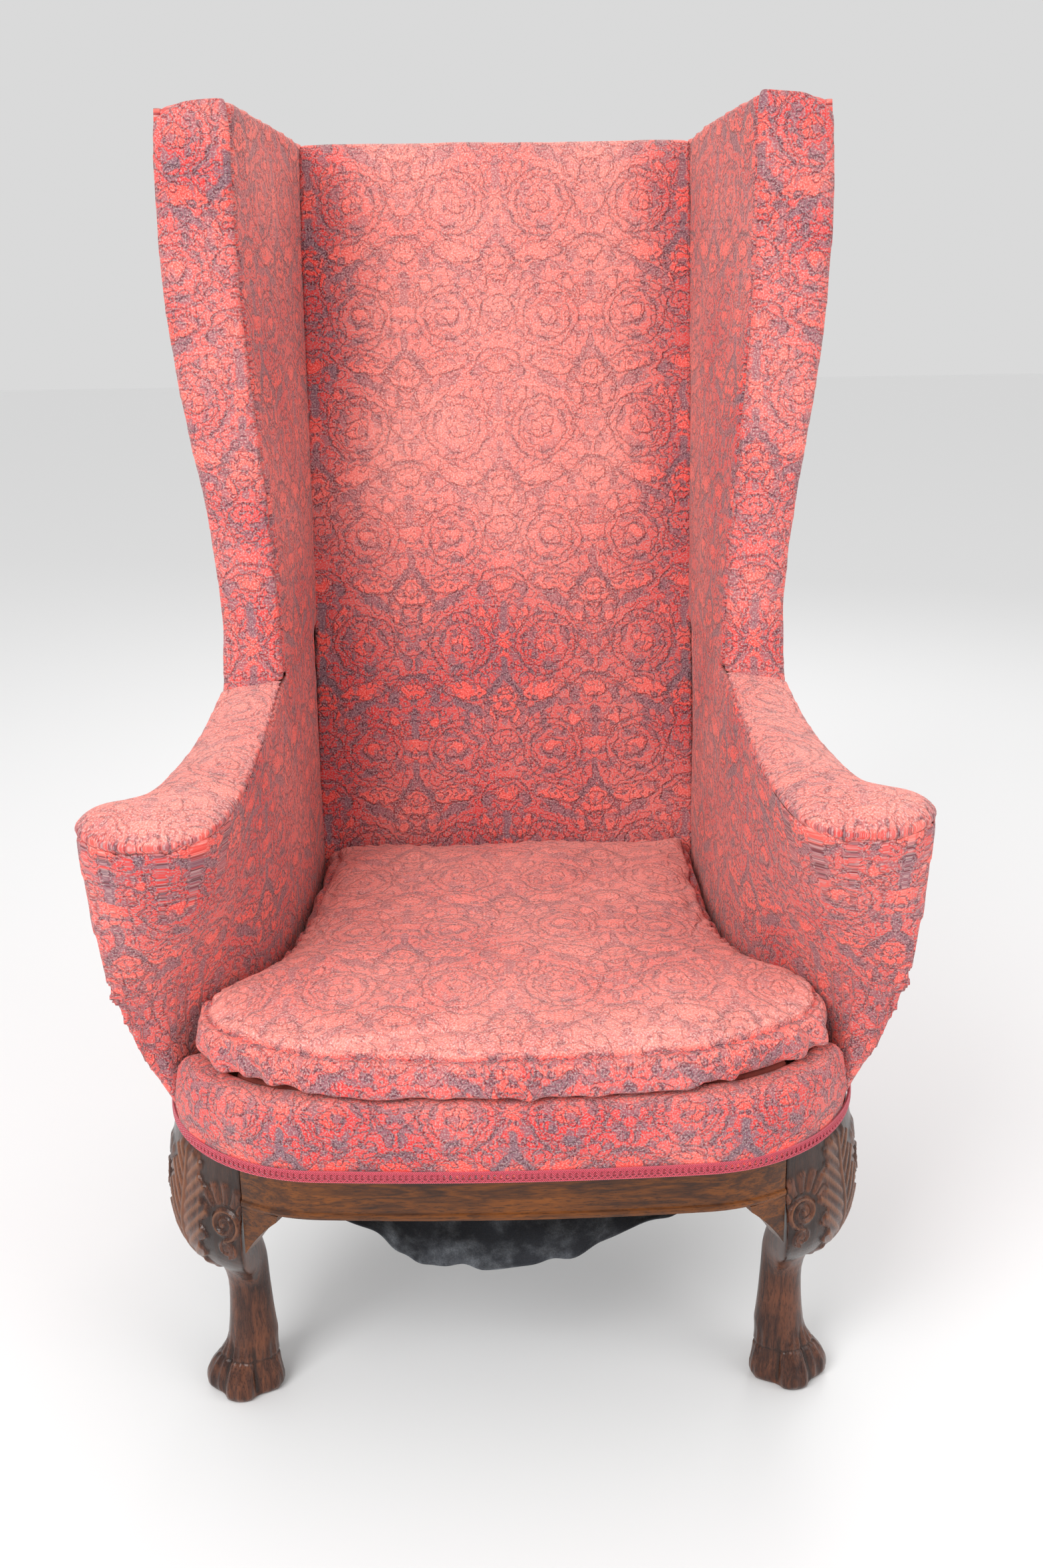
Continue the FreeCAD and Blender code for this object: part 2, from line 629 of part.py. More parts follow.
def arm_rear_rail():
    """Level arm rail from the back end of the arm board to the back post."""
    a, b = arm_top_pairs()[0]
    inner, outer = mix(a, b, 0.42), mix(a, b, 0.88)
    rear_y = post_front_y(ARM_BOARD_REAR_Z - ARM_BOARD_THICKNESS)
    rear_x = POST_INNER_X + 6.0
    return slab([inner[:2], outer[:2], (rear_x + outer[0] - inner[0], rear_y), (rear_x, rear_y)],
                ARM_BOARD_REAR_Z - ARM_BOARD_THICKNESS, ARM_BOARD_REAR_Z)


def arm_post():
    """Sawn arm post on the leg block, curved to follow the inside of the arm up to the arm board."""
    head_z = ARM_HEIGHT - ARM_TOP_THICKNESS - ARM_BOARD_THICKNESS
    half = ARM_POST_SHARE * (SEAT_HALF_WIDTH - BACK_HALF_WIDTH) / 2
    rings = []
    for (x, y), z in ((seat_point(LEG_BACK_DEG - 6.0, REBATE_INSET + 2 * half), RAIL_TOP_Z),
                      (plan(0.755, 0.64), CREASE_Z + 4.0), (plan(0.735, 0.615), ARM_LOW_Z),
                      (plan(0.774, 0.752), ARM_MID_Z), (plan(0.766, 0.79), head_z)):
        rings.append([(x - half, y - half, z), (x + half, y - half, z), (x + half, y + half, z),
                      (x - half, y + half, z)])
    return skinned(rings)


def arm_tack_rail():
    """Tack rail just above the seat, from the arm post to the back post."""
    bottom = RAIL_TOP_Z + 74.0
    rear_y = post_front_y(bottom)
    front = plan(0.57, 0.62)
    rear = (POST_INNER_X + 8.0, rear_y)
    return slab([front, (front[0] + 17.0, front[1] - 4.0), (rear[0] + 18.0, rear_y), rear],
                bottom, bottom + TACK_RAIL_HEIGHT)


def outside_arm_panel():
    """Outside arm cover over its lining, from the arm top down to the braid."""
    top = [arm_place(*station) for station in reversed(ARM_OUTER[:9])]
    top = [(x, y, z - ARM_TOP_THICKNESS - 4 * FIT_GAP) for x, y, z in top]
    flared = len(top)
    waist_x, waist_y, _ = top[-1]
    rear_x = POST_OUTER_X + COVER_THICKNESS + FIT_GAP
    rear_y = post_front_y(WAIST_Z) + POST_DEPTH
    for share in (0.05, 0.5, 1.0):
        top.append((waist_x + share * (rear_x - waist_x), waist_y + share * (rear_y - waist_y),
                    WAIST_Z - FIT_GAP))
    bottom = [seat_point(degrees, COVER_INSET) for degrees in (81, 82.5, 84, 86, 90, SIDE_DEG)]
    start_y = bottom[-1][1]
    for share in (0.12, 0.26, 0.42, 0.5, 0.72, 1.0):
        bottom.append(side_point(start_y + share * (POST_SEAT_Y + POST_DEPTH - start_y), COVER_INSET))
    rings = []
    for i, (a, b) in enumerate(zip(top, lifted(bottom, COVER_FOOT_Z))):
        x, y, z = mix(a, b, (a[2] - POST_BEND_Z) / (a[2] - COVER_FOOT_Z))
        flare = max(0.0, 1 - i / 5) * ARM_FACE_SWELL
        behind = max(0, i - flared + 1) / (len(top) - flared)
        rings.append([a, (x + 1.6 * flare, y - flare + behind * (b[1] - y), z), b])
    lines = [list(line) for line in zip(*rings)]
    linings = [moved_left(line, COVER_THICKNESS) for line in lines]
    return skinned([[line[i] for line in lines] + [line[i] for line in reversed(linings)]
                    for i in range(len(top))])


# Wings

# Front edge of the wing: height as a share from waist to apex, setback, outer and inner edge beyond
# the half width of the inside back
WING_EDGE = ((0.004, 0.0, 77.0, 12.0), (0.073, 6.0, 73.0, 13.0), (0.17, 15.0, 75.0, 15.0),
             (0.257, 23.0, 81.0, 18.0), (0.362, 31.0, 90.0, 23.0), (0.503, 40.0, 104.0, 31.0),
             (0.626, 45.0, 112.0, 36.0), (0.75, 51.0, 116.0, 40.0), (0.872, 56.0, 116.0, 40.0),
             (0.955, 60.0, 114.0, 39.0))
WING_FRONT_Y = plan(0.0, 0.338)[1]


def wing_stations():
    """Height, depth, outer x and inner x of the wing's front edge."""
    return [(WAIST_Z + share * (WING_APEX_Z - WAIST_Z), WING_FRONT_Y + setback, BACK_HALF_WIDTH + outer,
             BACK_HALF_WIDTH + inner) for share, setback, outer, inner in WING_EDGE]


def wing_facing():
    """Padded ribbon down the front edge of the wing."""
    stations = wing_stations()
    z, y, outer, inner = stations[-1]
    rear_y = y + FACING_THICKNESS
    stations += [(WING_APEX_Z - 12.0, y + 1.0, outer - 1.0, inner + 0.5),
                 (WING_APEX_Z - 5.0, y + 4.0, outer - 6.0, inner + 1.5)]
    rings = []
    for z, y, outer, inner in stations:
        tip = max(0.0, (z - WING_APEX_Z + 12.0) / 7.0)
        front = y - FACING_CROWN * (1 - 0.8 * tip)
        rear = min(y + FACING_THICKNESS, rear_y)
        width = outer - inner
        ring = [(inner, y + 1.0), (inner + 0.15 * width, front + 1.5), (inner + 0.4 * width, front),
                (inner + 0.7 * width, front + 0.5), (outer - 6.0, y - 1.5), (outer, y + 6.0),
                (outer - 1.0, rear), (inner + 2.0, rear)]
        rings.append([(x, ring_y, z + 5.0 * tip * (outer - x) / width) for x, ring_y in ring])
    return skinned(rings)


def wing_strip(station, inner_front, inner_back, thickness, rear_y, bulge):
    """Plan strip from the facing to the back, bulging sideways at its middle."""
    z, y, _, _ = station
    front_y = y + FACING_THICKNESS + FIT_GAP
    x = (inner_front + inner_back) / 2 + bulge
    middle_y = (front_y + rear_y) / 2
    return [(inner_front, front_y, z), (x, middle_y, z), (inner_back, rear_y, z),
            (inner_back + thickness, rear_y, z), (x + thickness, middle_y, z),
            (inner_front + thickness, front_y, z)]


def sloped(ring, front_z, rear_z):
    """Top ring laid on a plane that falls to the back, its front kept clear of the facing."""
    low, high = min(p[1] for p in ring), max(p[1] for p in ring)
    shares = [(y - low) / (high - low) for _, y, _ in ring]
    return [(x, y + 4 * FIT_GAP * (1 - share), front_z + (rear_z - front_z) * share)
            for (x, y, _), share in zip(ring, shares)]


def inside_wing_pad():
    """Stuffed inside wing, from the facing back to the inside back."""
    rings = []
    for station in wing_stations():
        z, y, outer, inner = station
        rings.append(wing_strip(station, inner - 1.0, BACK_HALF_WIDTH + FIT_GAP, WING_PAD_THICKNESS,
                                back_y(min(z, BACK_TOP_Z)) + BACK_PAD_THICKNESS, -5.0))
    rings[-1] = sloped(rings[-1], WING_APEX_Z - 3.0, BACK_TOP_Z)
    return skinned(rings)


def outside_wing_panel():
    """Outside wing cover over its lining, from the facing back to the back post."""
    rings = []
    for station in wing_stations():
        z, y, outer, inner = station
        rings.append(wing_strip(station, outer - 1.0 - COVER_THICKNESS, POST_OUTER_X + FIT_GAP,
                                COVER_THICKNESS, post_front_y(z) + POST_DEPTH, 3.0))
    rings[-1] = sloped(rings[-1], WING_APEX_Z - 9.0, BACK_TOP_Z - 3.0)
    return skinned(rings)


WING_POST_TOP_Z = POST_TOP_Z + 14.0


def wing_post():
    """Wooden upright behind the facing, following the sweep of the wing."""
    rings = []
    for z, y, outer, inner in wing_stations():
        front_y = y + FACING_THICKNESS + FIT_GAP
        x0 = inner + WING_PAD_THICKNESS + 1.0
        x1 = outer - COVER_THICKNESS - 3.0
        draw_in = WING_POST_DEPTH * (outer - POST_OUTER_X) / (post_front_y(z) - front_y)
        rings.append(lifted([(x0, front_y), (x1, front_y), (x1 - draw_in, front_y + WING_POST_DEPTH),
                             (x0, front_y + WING_POST_DEPTH)], min(z, WING_POST_TOP_Z - 3.0)))
    foot = [(x, y, ARM_BOARD_REAR_Z) for x, y, _ in rings[0]]
    return skinned([foot] + rings)


def wing_top_rail():
    """Top rail of the wing, from the wing post to the back post."""
    z, y, outer, inner = wing_stations()[-1]
    front_y = y + FACING_THICKNESS + WING_POST_DEPTH + FIT_GAP
    front_top, rear_top = WING_POST_TOP_Z - 4.0, POST_TOP_Z - 2.0
    rear_y = post_front_y(rear_top - WING_RAIL_HEIGHT)
    rings = []
    for x0, x1, ry, top in ((inner + WING_PAD_THICKNESS + 6.0, outer - COVER_THICKNESS - 6.0, front_y, front_top),
                            (POST_INNER_X + 3.0, POST_OUTER_X - 3.0, rear_y, rear_top)):
        rings.append([(x0, ry, top), (x1, ry, top), (x1, ry, top - WING_RAIL_HEIGHT),
                      (x0, ry, top - WING_RAIL_HEIGHT)])
    return skinned(rings)


def wing_top_pad():
    """Thin stuffing that closes the top of the wing, between its inside and outside covers."""
    z, y, outer, inner = wing_stations()[-1]
    front_y = y + FACING_THICKNESS + FIT_GAP
    rear_y = back_y(BACK_TOP_Z) + BACK_PAD_THICKNESS - FIT_GAP
    rings = []
    for x0, x1, ry, bottom, top in (
            (inner + WING_PAD_THICKNESS - 0.6, outer - COVER_THICKNESS - 1.6, front_y, WING_POST_TOP_Z + FIT_GAP,
             WING_APEX_Z - 5.0),
            (BACK_HALF_WIDTH + WING_PAD_THICKNESS + 1.4, POST_OUTER_X + 0.2, rear_y, POST_TOP_Z + FIT_GAP,
             BACK_TOP_Z - 1.0)):
        middle = (x0 + x1) / 2
        rings.append([(x0, ry, bottom), (x0, ry, top), (middle, ry, top + 2.0), (x1, ry, top - 2.0),
                      (x1, ry, bottom)])
    return skinned(rings)


# Back


def back_rail(bottom_z, top_z):
    """Cross rail between the back posts, lying in the rake of the back."""
    rings = []
    for z in (bottom_z, top_z):
        y = post_front_y(z) + 2.0
        rings.append(lifted([(-POST_INNER_X, y), (POST_INNER_X, y), (POST_INNER_X, y + 26.0),
                             (-POST_INNER_X, y + 26.0)], z))
    return skinned(rings)


def inside_back_pad():
    """Stuffed inside back with a slight crown, rolled over at the top."""
    rings = []
    for z, roll in ((CREASE_Z - 1.0, 0.0), (BACK_BOTTOM_Z + 4.0, 0.0), (BACK_BOTTOM_Z + 180.0, 0.0),
                    (BACK_TOP_Z - 24.0, 0.0), (BACK_TOP_Z - 9.0, 4.0), (BACK_TOP_Z - 2.0, 11.0),
                    (BACK_TOP_Z, 20.0)):
        front = back_y(z) + roll
        rear = back_y(z) + BACK_PAD_THICKNESS
        crown = BACK_CROWN if z > BACK_BOTTOM_Z + 50.0 else 0.0
        steps = 8
        ring = []
        for i in range(steps + 1):
            u = 2 * i / steps - 1
            ring.append((u * BACK_HALF_WIDTH, front - crown * (1 - u * u), z))
        rings.append(ring + [(BACK_HALF_WIDTH, rear, z), (-BACK_HALF_WIDTH, rear, z)])
    return skinned(rings)


def back_layer(gap, thickness, width, bottom_z, top_z, centre_x=0.0):
    """Thin sheet or strip in the rake of the back, a gap behind the pad."""
    rings = []
    for z in (bottom_z, top_z):
        y = back_y(z) + BACK_PAD_THICKNESS + gap
        x0, x1 = centre_x - width / 2, centre_x + width / 2
        rings.append(lifted([(x0, y), (x1, y), (x1, y + thickness), (x0, y + thickness)], z))
    return skinned(rings)


BACK_LAYER_BOTTOM_Z = POST_BEND_Z


def back_webbing():
    """Webbing on the front of the back frame, three strips upright and four across."""
    gap = HESSIAN_THICKNESS + FIT_GAP
    height = POST_TOP_Z - BACK_LAYER_BOTTOM_Z
    strips = []
    for i in (-1, 0, 1):
        strips.append(back_layer(gap, WEBBING_THICKNESS, WEBBING_WIDTH, BACK_LAYER_BOTTOM_Z, POST_TOP_Z - 6.0,
                                 i * BACK_HALF_WIDTH * 0.6))
    for share in (0.16, 0.36, 0.56, 0.76):
        z = BACK_LAYER_BOTTOM_Z + share * height
        strips.append(back_layer(gap + WEBBING_THICKNESS, WEBBING_THICKNESS, 2 * POST_INNER_X + 20.0, z,
                                 z + WEBBING_WIDTH))
    return group(strips)


def back_hessian():
    return back_layer(FIT_GAP, HESSIAN_THICKNESS, 2 * POST_INNER_X, BACK_LAYER_BOTTOM_Z, POST_TOP_Z)


OUTER_BACK_CROWN = 4.7


def outside_back_panel():
    """Outside back cover over its lining, from the braid to the crest."""
    half = POST_OUTER_X
    rings = []
    for z in (BRAID_Z, RAIL_TOP_Z, POST_BEND_Z, BACK_TOP_Z - 8.0):
        y = (post_front_y(z) if z >= POST_BEND_Z else POST_SEAT_Y) + POST_DEPTH + FIT_GAP
        rear = y + COVER_THICKNESS
        rings.append(lifted([(-half, y), (half, y), (half, rear), (half / 2, rear + 0.75 * OUTER_BACK_CROWN),
                             (0, rear + OUTER_BACK_CROWN), (-half / 2, rear + 0.75 * OUTER_BACK_CROWN),
                             (-half, rear)], z))
    return skinned(rings)


def crest_pad():
    """Stuffing rolled over the crest rail, between the inside and outside back."""
    front_y = back_y(BACK_TOP_Z) + BACK_PAD_THICKNESS + 2 * FIT_GAP
    rear_y = post_front_y(POST_TOP_Z) + POST_DEPTH
    rings = []
    for x in (-POST_OUTER_X, POST_OUTER_X):
        rings.append([(x, front_y, POST_TOP_Z + FIT_GAP), (x, front_y, BACK_TOP_Z - 0.4),
                      (x, front_y + 20.0, BACK_TOP_Z), (x, rear_y - 10.0, BACK_TOP_Z - 2.0),
                      (x, rear_y, BACK_TOP_Z - 6.0), (x, rear_y, POST_TOP_Z + FIT_GAP)])
    return skinned(rings)


# Seat


def border_profile():
    """Section of the stuffed seat edge between the braid and the cushion."""
    rebated = REBATE_INSET - FIT_GAP
    foot = BRAID_Z + FIT_GAP
    inner = RAIL_INNER_INSET - 1.0
    return [(BRAID_THICKNESS, foot), (BRAID_THICKNESS, BRAID_Z + BRAID_HEIGHT),
            (1.0, BRAID_Z + 0.25 * BORDER_HEIGHT), (0.4, BRAID_Z + 0.45 * BORDER_HEIGHT), (1.6, BRAID_Z + 0.68 * BORDER_HEIGHT),
            (5.5, BRAID_Z + 0.88 * BORDER_HEIGHT), (12.0, BRAID_Z + 0.98 * BORDER_HEIGHT), (20.0, CREASE_Z - 1.0), (inner, CREASE_Z - 1.0),
            (inner, RAIL_TOP_Z + FIT_GAP), (rebated, RAIL_TOP_Z + FIT_GAP), (rebated, foot)]


def seat_border():
    """Stuffed and covered seat edge across the front."""
    return front_run(border_profile(), ARM_FOOT_DEG[0] - 2.0)


def gimp_braid():
    """Braid glued along the lower edge of the covers, round the front and both sides."""
    profile = [(0.3, BRAID_Z), (0.0, BRAID_Z + BRAID_HEIGHT / 2), (0.3, BRAID_Z + BRAID_HEIGHT),
               (BRAID_THICKNESS - 0.2, BRAID_Z + BRAID_HEIGHT), (BRAID_THICKNESS - 0.2, BRAID_Z)]
    corner = corner_run(profile, BOW_DEG, SIDE_DEG)
    side = side_run(profile, POST_SEAT_Y + POST_DEPTH)
    return joined([bow_run(profile), corner, side, other_side(corner), other_side(side)])


# Cushion plan at its widest: along the arm in the plan frame, then an angle and inset on the seat
# line's corner, then an x and inset on its bow
CUSHION_SIDE = ((-0.008, 0.006), (-0.004, 0.173), (0.026, 0.336), (0.095, 0.466), (0.208, 0.553),
                (0.344, 0.615), (0.481, 0.656), (0.610, 0.688), (0.708, 0.716))
CUSHION_CORNER = ((70.0, 20.0), (61.0, 14.0), (51.0, 15.0), (38.0, 19.0), (23.0, 19.0), (8.0, 14.0))
CUSHION_BOW = ((140.0, 9.0), (70.0, 6.0))
CUSHION_CENTRE_Y = -120.0
# Height as a share of the thickness, and how far the ring is drawn in from the widest line
CUSHION_RINGS = ((0.0, 14.0), (0.08, 5.0), (0.24, 0.5), (0.42, 0.0), (0.62, 2.0), (0.82, 8.0), (1.0, 17.0))
CUSHION_CROWN_RINGS = ((0.55, 52.0), (0.85, 100.0), (1.0, 150.0))


def cushion_line():
    """Half plan of the cushion at its widest, from the back corner to the middle of the front."""
    line = [plan(*place) for place in CUSHION_SIDE]
    line += [seat_point(*place) for place in CUSHION_CORNER]
    line += [bow_point(*place) for place in CUSHION_BOW]
    return line + [bow_point(0.0, 4.0)]


def cushion_thickness(y):
    """Cushion thickness at a depth: it slopes down to the front."""
    share = (BACK_BOTTOM_Y - y) / (BACK_BOTTOM_Y - SEAT_FRONT_Y)
    return CUSHION_BACK_THICKNESS + share * (CUSHION_FRONT_THICKNESS - CUSHION_BACK_THICKNESS)


def cushion_ring(share, inset, crown=0.0):
    """Ring round the cushion, a share of the thickness up, drawn in from the widest line."""
    half = []
    for x, y in cushion_line():
        reach = math.hypot(x, y - CUSHION_CENTRE_Y)
        pull = 1 - inset / reach
        half.append((x * pull, CUSHION_CENTRE_Y + (y - CUSHION_CENTRE_Y) * pull))
    base = CREASE_Z + FIT_GAP
    points = []
    for x, y in half + [(-x, y) for x, y in reversed(half[:-1])]:
        z = base + cushion_thickness(y) * share + crown
        points.append((x, min(y, back_y(z) - FIT_GAP), z))
    return points


def seat_cushion():
    """Loose cushion with a crown, drawn-in sides and a front edge that bulges over the border."""
    rings = [cushion_ring(share, inset) for share, inset in CUSHION_RINGS]
    rings += [cushion_ring(1.0, inset, CUSHION_CROWN * rise) for rise, inset in CUSHION_CROWN_RINGS]
    return skinned(rings)


def deck_outline():
    """Plan of the seat platform inside the border and between the arms."""
    half = [plan(-0.09, 0.02), plan(-0.056, 0.226), plan(-0.024, 0.376), plan(0.056, 0.508),
            plan(0.185, 0.602), plan(0.347, 0.680), seat_point(58, RAIL_INNER_INSET + 42.0)]
    half += [seat_point(d, RAIL_INNER_INSET) for d in (42, 26, 10)]
    half += [bow_point(x, RAIL_INNER_INSET) for x in (100.0, 0.0)]
    return half + [(-x, y) for x, y in reversed(half[:-1])]


def spring_hessian():
    z = SPRING_TOP_Z + FIT_GAP
    return slab(deck_outline(), z, z + HESSIAN_THICKNESS)


def seat_stuffing():
    return slab(deck_outline(), SPRING_TOP_Z + 2 * FIT_GAP + HESSIAN_THICKNESS, CREASE_Z - 1.0)


def seat_webbing():
    """Webbing under the rails, which carries the springs, four strips each way."""
    top = RAIL_BOTTOM_Z - FIT_GAP / 2
    half = WEBBING_WIDTH / 2
    strips = []
    for i in range(4):
        x = (i - 1.5) * 92.0
        front = bow_point(abs(x) + half, RAIL_INNER_INSET)[1] - 12.0
        strips.append(box(x - half, x + half, front, POST_SEAT_Y + 24.0, top - WEBBING_THICKNESS, top))
    for i in range(4):
        y = seat_point(LEG_BACK_DEG, 0.0)[1] + EAR_LENGTH + WEBBING_WIDTH * (0.6 + 1.75 * i)
        reach = side_point(y + half, RAIL_INNER_INSET)[0] + 12.0
        strips.append(box(-reach, reach, y - half, y + half, top - 2 * WEBBING_THICKNESS,
                          top - WEBBING_THICKNESS))
    return group(strips)


def spring(x, y, bottom_z, top_z):
    """Waisted coil spring of one unbroken wire."""
    count = SPRING_TURNS * SPRING_STEPS
    half = SPRING_WIRE / 2
    rings = []
    for i in range(count + 1):
        share = i / count
        angle = 2 * math.pi * i / SPRING_STEPS
        waist = 1 - (2 * share - 1) ** 2
        radius = SPRING_END_RADIUS - (SPRING_END_RADIUS - SPRING_WAIST_RADIUS) * waist
        z = bottom_z + half + (top_z - bottom_z - SPRING_WIRE) * share
        rings.append([(x + (radius + dr) * math.cos(angle), y + (radius + dr) * math.sin(angle), z + dz)
                      for dr, dz in ((-half, -half), (half, -half), (half, half), (-half, half))])
    return skinned(rings)


def seat_springs():
    """Rows of coil springs standing on the webbing."""
    turn_gap = (SPRING_TOP_Z - RAIL_BOTTOM_Z - SPRING_WIRE) / SPRING_TURNS - SPRING_WIRE
    print(f"seat_springs least gap between turns of one coil {turn_gap:.1f} mm")
    middle = (SPRING_ROWS - 1) / 2
    springs = []
    for i in range(SPRING_ROWS):
        for j in range(SPRING_ROWS):
            springs.append(spring((i - middle) * SPRING_PITCH_X, SPRING_CENTRE_Y + (j - middle) * SPRING_PITCH_Y,
                                  RAIL_BOTTOM_Z, SPRING_TOP_Z))
    return group(springs)


# Torn cloth under the seat: places across it as shares of its half width, with how far each hangs
CLOTH_FOLDS = ((-1.0, 0.0), (-0.83, 0.05), (-0.64, 0.34), (-0.48, 0.58), (-0.32, 1.0), (-0.19, 0.86),
               (-0.05, 0.98), (0.08, 0.84), (0.19, 0.93), (0.36, 0.62), (0.55, 0.42), (0.81, 0.08), (1.0, 0.0))
# Rows from the front edge to the back, as shares of the cloth's depth, with how far each hangs
CLOTH_ROWS = ((0.0, 1.0), (0.065, 0.78), (0.19, 0.42), (0.35, 0.14), (0.53, 0.03), (1.0, 0.0))


def bottom_cloth():
    """Cloth under the seat, torn loose at the front, where it hangs in folds behind the rail."""
    half_width = side_point(POST_SEAT_Y, RAIL_INNER_INSET)[0]
    front_y = bow_point(0.0, RAIL_INNER_INSET + 35.0)[1]
    top_z = RAIL_BOTTOM_Z - 2 * WEBBING_THICKNESS - FIT_GAP
    rings = []
    for row, hang in CLOTH_ROWS:
        y = front_y + row * (POST_SEAT_Y - front_y)
        upper = [(share * half_width, y, top_z - CLOTH_SAG * drop * hang) for share, drop in CLOTH_FOLDS]
        rings.append(upper + [(x, y, z - CLOTH_THICKNESS) for x, y, z in reversed(upper)])
    return skinned(rings, short_diagonals=True)


def export(name, shape):
    """Write one piece and report its state."""
    shape.exportStep("parts/" + name + ".step")
    state = "valid" if shape.isValid() else "NOT VALID"
    print(f"{name:26s} solids {len(shape.Solids)} volume {shape.Volume / 1000:9.1f} cm3 {state}")


def build():
    """Every piece by name."""
    leg = front_leg()
    posts = back_post()
    stump = arm_post()
    screws = brace_screws()
    braces = [front_brace().cut(leg), rear_brace().cut(posts)]
    braces = [brace.cut(Part.makeCompound(screws)) for brace in braces]
    nodes = {
        "front_rail": front_rail(),
        "rear_rail": rear_rail(),
        "crest_rail": back_rail(POST_TOP_Z - 46.0, POST_TOP_Z),
        "back_tack_rail": back_rail(POST_BEND_Z, POST_BEND_Z + TACK_RAIL_HEIGHT),
        "corner_braces": group(braces + [other_side(b) for b in braces]),
        "corner_brace_screws": group(screws + [other_side(s) for s in screws]),
        "seat_webbing": seat_webbing(),
        "seat_springs": seat_springs(),
        "spring_hessian": spring_hessian(),
        "seat_stuffing": seat_stuffing(),
        "back_webbing": back_webbing(),
        "back_hessian": back_hessian(),
        "inside_back_pad": inside_back_pad(),
        "outside_back_panel": outside_back_panel(),
        "crest_pad": crest_pad(),
        "seat_border": seat_border(),
        "gimp_braid": gimp_braid(),
        "bottom_cloth": bottom_cloth(),
        "seat_cushion": seat_cushion(),
    }
    one_side = {
        "front_leg": leg,
        "front_knee_bracket": knee_bracket(LEG_JOINT_DEG, -1).cut(leg),
        "side_knee_bracket": knee_bracket(LEG_BACK_DEG, 1).cut(leg),
        "side_rail": side_rail(),
        "back_post": posts,
        "arm_post": stump,
        "arm_board": arm_board(),
        "arm_rear_rail": arm_rear_rail(),
        "arm_tack_rail": arm_tack_rail().cut(stump),
        "wing_post": wing_post(),
        "wing_top_rail": wing_top_rail(),
        "inside_arm_pad": inside_arm_pad().cut([leg, stump]),
        "arm_top_pad": arm_top_pad(),
        "outside_arm_panel": outside_arm_panel(),
        "wing_facing": wing_facing(),
        "inside_wing_pad": inside_wing_pad(),
        "outside_wing_panel": outside_wing_panel(),
        "wing_top_pad": wing_top_pad(),
    }
    for name, shape in one_side.items():
        nodes[name + "_left"] = shape
        nodes[name + "_right"] = other_side(shape)
    return nodes


os.makedirs("parts", exist_ok=True)
for node_name, node_shape in build().items():
    export(node_name, node_shape)
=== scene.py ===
"""Looks of the wingback armchair: damask velvet covers, loose cushion, gimp braid, carved walnut legs."""
import bmesh
import bpy
import math
import numpy as np
from mathutils import Matrix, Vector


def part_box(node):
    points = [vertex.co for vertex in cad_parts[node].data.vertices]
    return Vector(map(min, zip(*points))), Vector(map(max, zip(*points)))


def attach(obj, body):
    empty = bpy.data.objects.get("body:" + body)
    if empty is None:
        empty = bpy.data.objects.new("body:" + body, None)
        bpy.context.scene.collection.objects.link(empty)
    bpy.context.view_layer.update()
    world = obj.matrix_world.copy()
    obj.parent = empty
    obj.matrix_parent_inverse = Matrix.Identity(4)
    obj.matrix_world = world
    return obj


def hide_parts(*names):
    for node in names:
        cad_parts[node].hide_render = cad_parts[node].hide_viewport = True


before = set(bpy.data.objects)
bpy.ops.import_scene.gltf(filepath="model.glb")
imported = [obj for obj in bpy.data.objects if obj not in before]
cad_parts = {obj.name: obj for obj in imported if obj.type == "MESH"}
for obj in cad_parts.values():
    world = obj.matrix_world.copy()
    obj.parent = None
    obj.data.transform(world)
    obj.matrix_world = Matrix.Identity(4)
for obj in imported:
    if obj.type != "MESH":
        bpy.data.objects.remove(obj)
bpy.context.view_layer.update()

SIDES = (("left", 1.0), ("right", -1.0))


# Camera, at the photograph's viewing angle

CAMERA_PLACE = (0.0, -1.679, 1.14)
DOWN_DEG, TURN_DEG, ROLL_DEG = 18.8, -0.57, 0.886
FOCAL_LENGTH = 36.9


def place_camera():
    """Eye well above the arms, tipped down, with the photograph's slight turn and roll."""
    pitch, turn, roll = math.radians(DOWN_DEG), math.radians(TURN_DEG), math.radians(ROLL_DEG)
    spin = Matrix.Rotation(turn, 3, "Z")
    forward = spin @ Matrix.Rotation(-pitch, 3, "X").col[1].copy()
    right = spin.col[0].copy()
    up = right.cross(forward)
    tilted_right = right * math.cos(roll) - up * math.sin(roll)
    tilted_up = right * math.sin(roll) + up * math.cos(roll)
    data = bpy.data.cameras.new("camera")
    data.sensor_width = 36.0
    data.lens = FOCAL_LENGTH
    data.clip_end = 60.0
    camera = bpy.data.objects.new("camera", data)
    bpy.context.scene.collection.objects.link(camera)
    turned = Matrix((tilted_right, tilted_up, -forward)).transposed()
    camera.matrix_world = Matrix.Translation(CAMERA_PLACE) @ turned.to_4x4()
    bpy.context.scene.camera = camera


place_camera()


# Seat line of the chair, in metres: a bow across the front, a round corner, and a straight side

CORNER = np.array((0.170, -0.211))
CORNER_RADIUS = 0.175
BOW_RADIUS = 2.6
BOW_CENTRE_Y = 2.208
BOW_ANGLE = math.asin(CORNER[0] / (BOW_RADIUS - CORNER_RADIUS))
SIDE_ANGLE = math.radians(99.0)
SEAT_BACK_Y = 0.214
BRAID_BOTTOM_Z = 0.313
BRAID_HEIGHT = 0.012
CREASE_Z = 0.391
BACK_RAKE = 0.2
BACK_HALF_WIDTH = 0.221


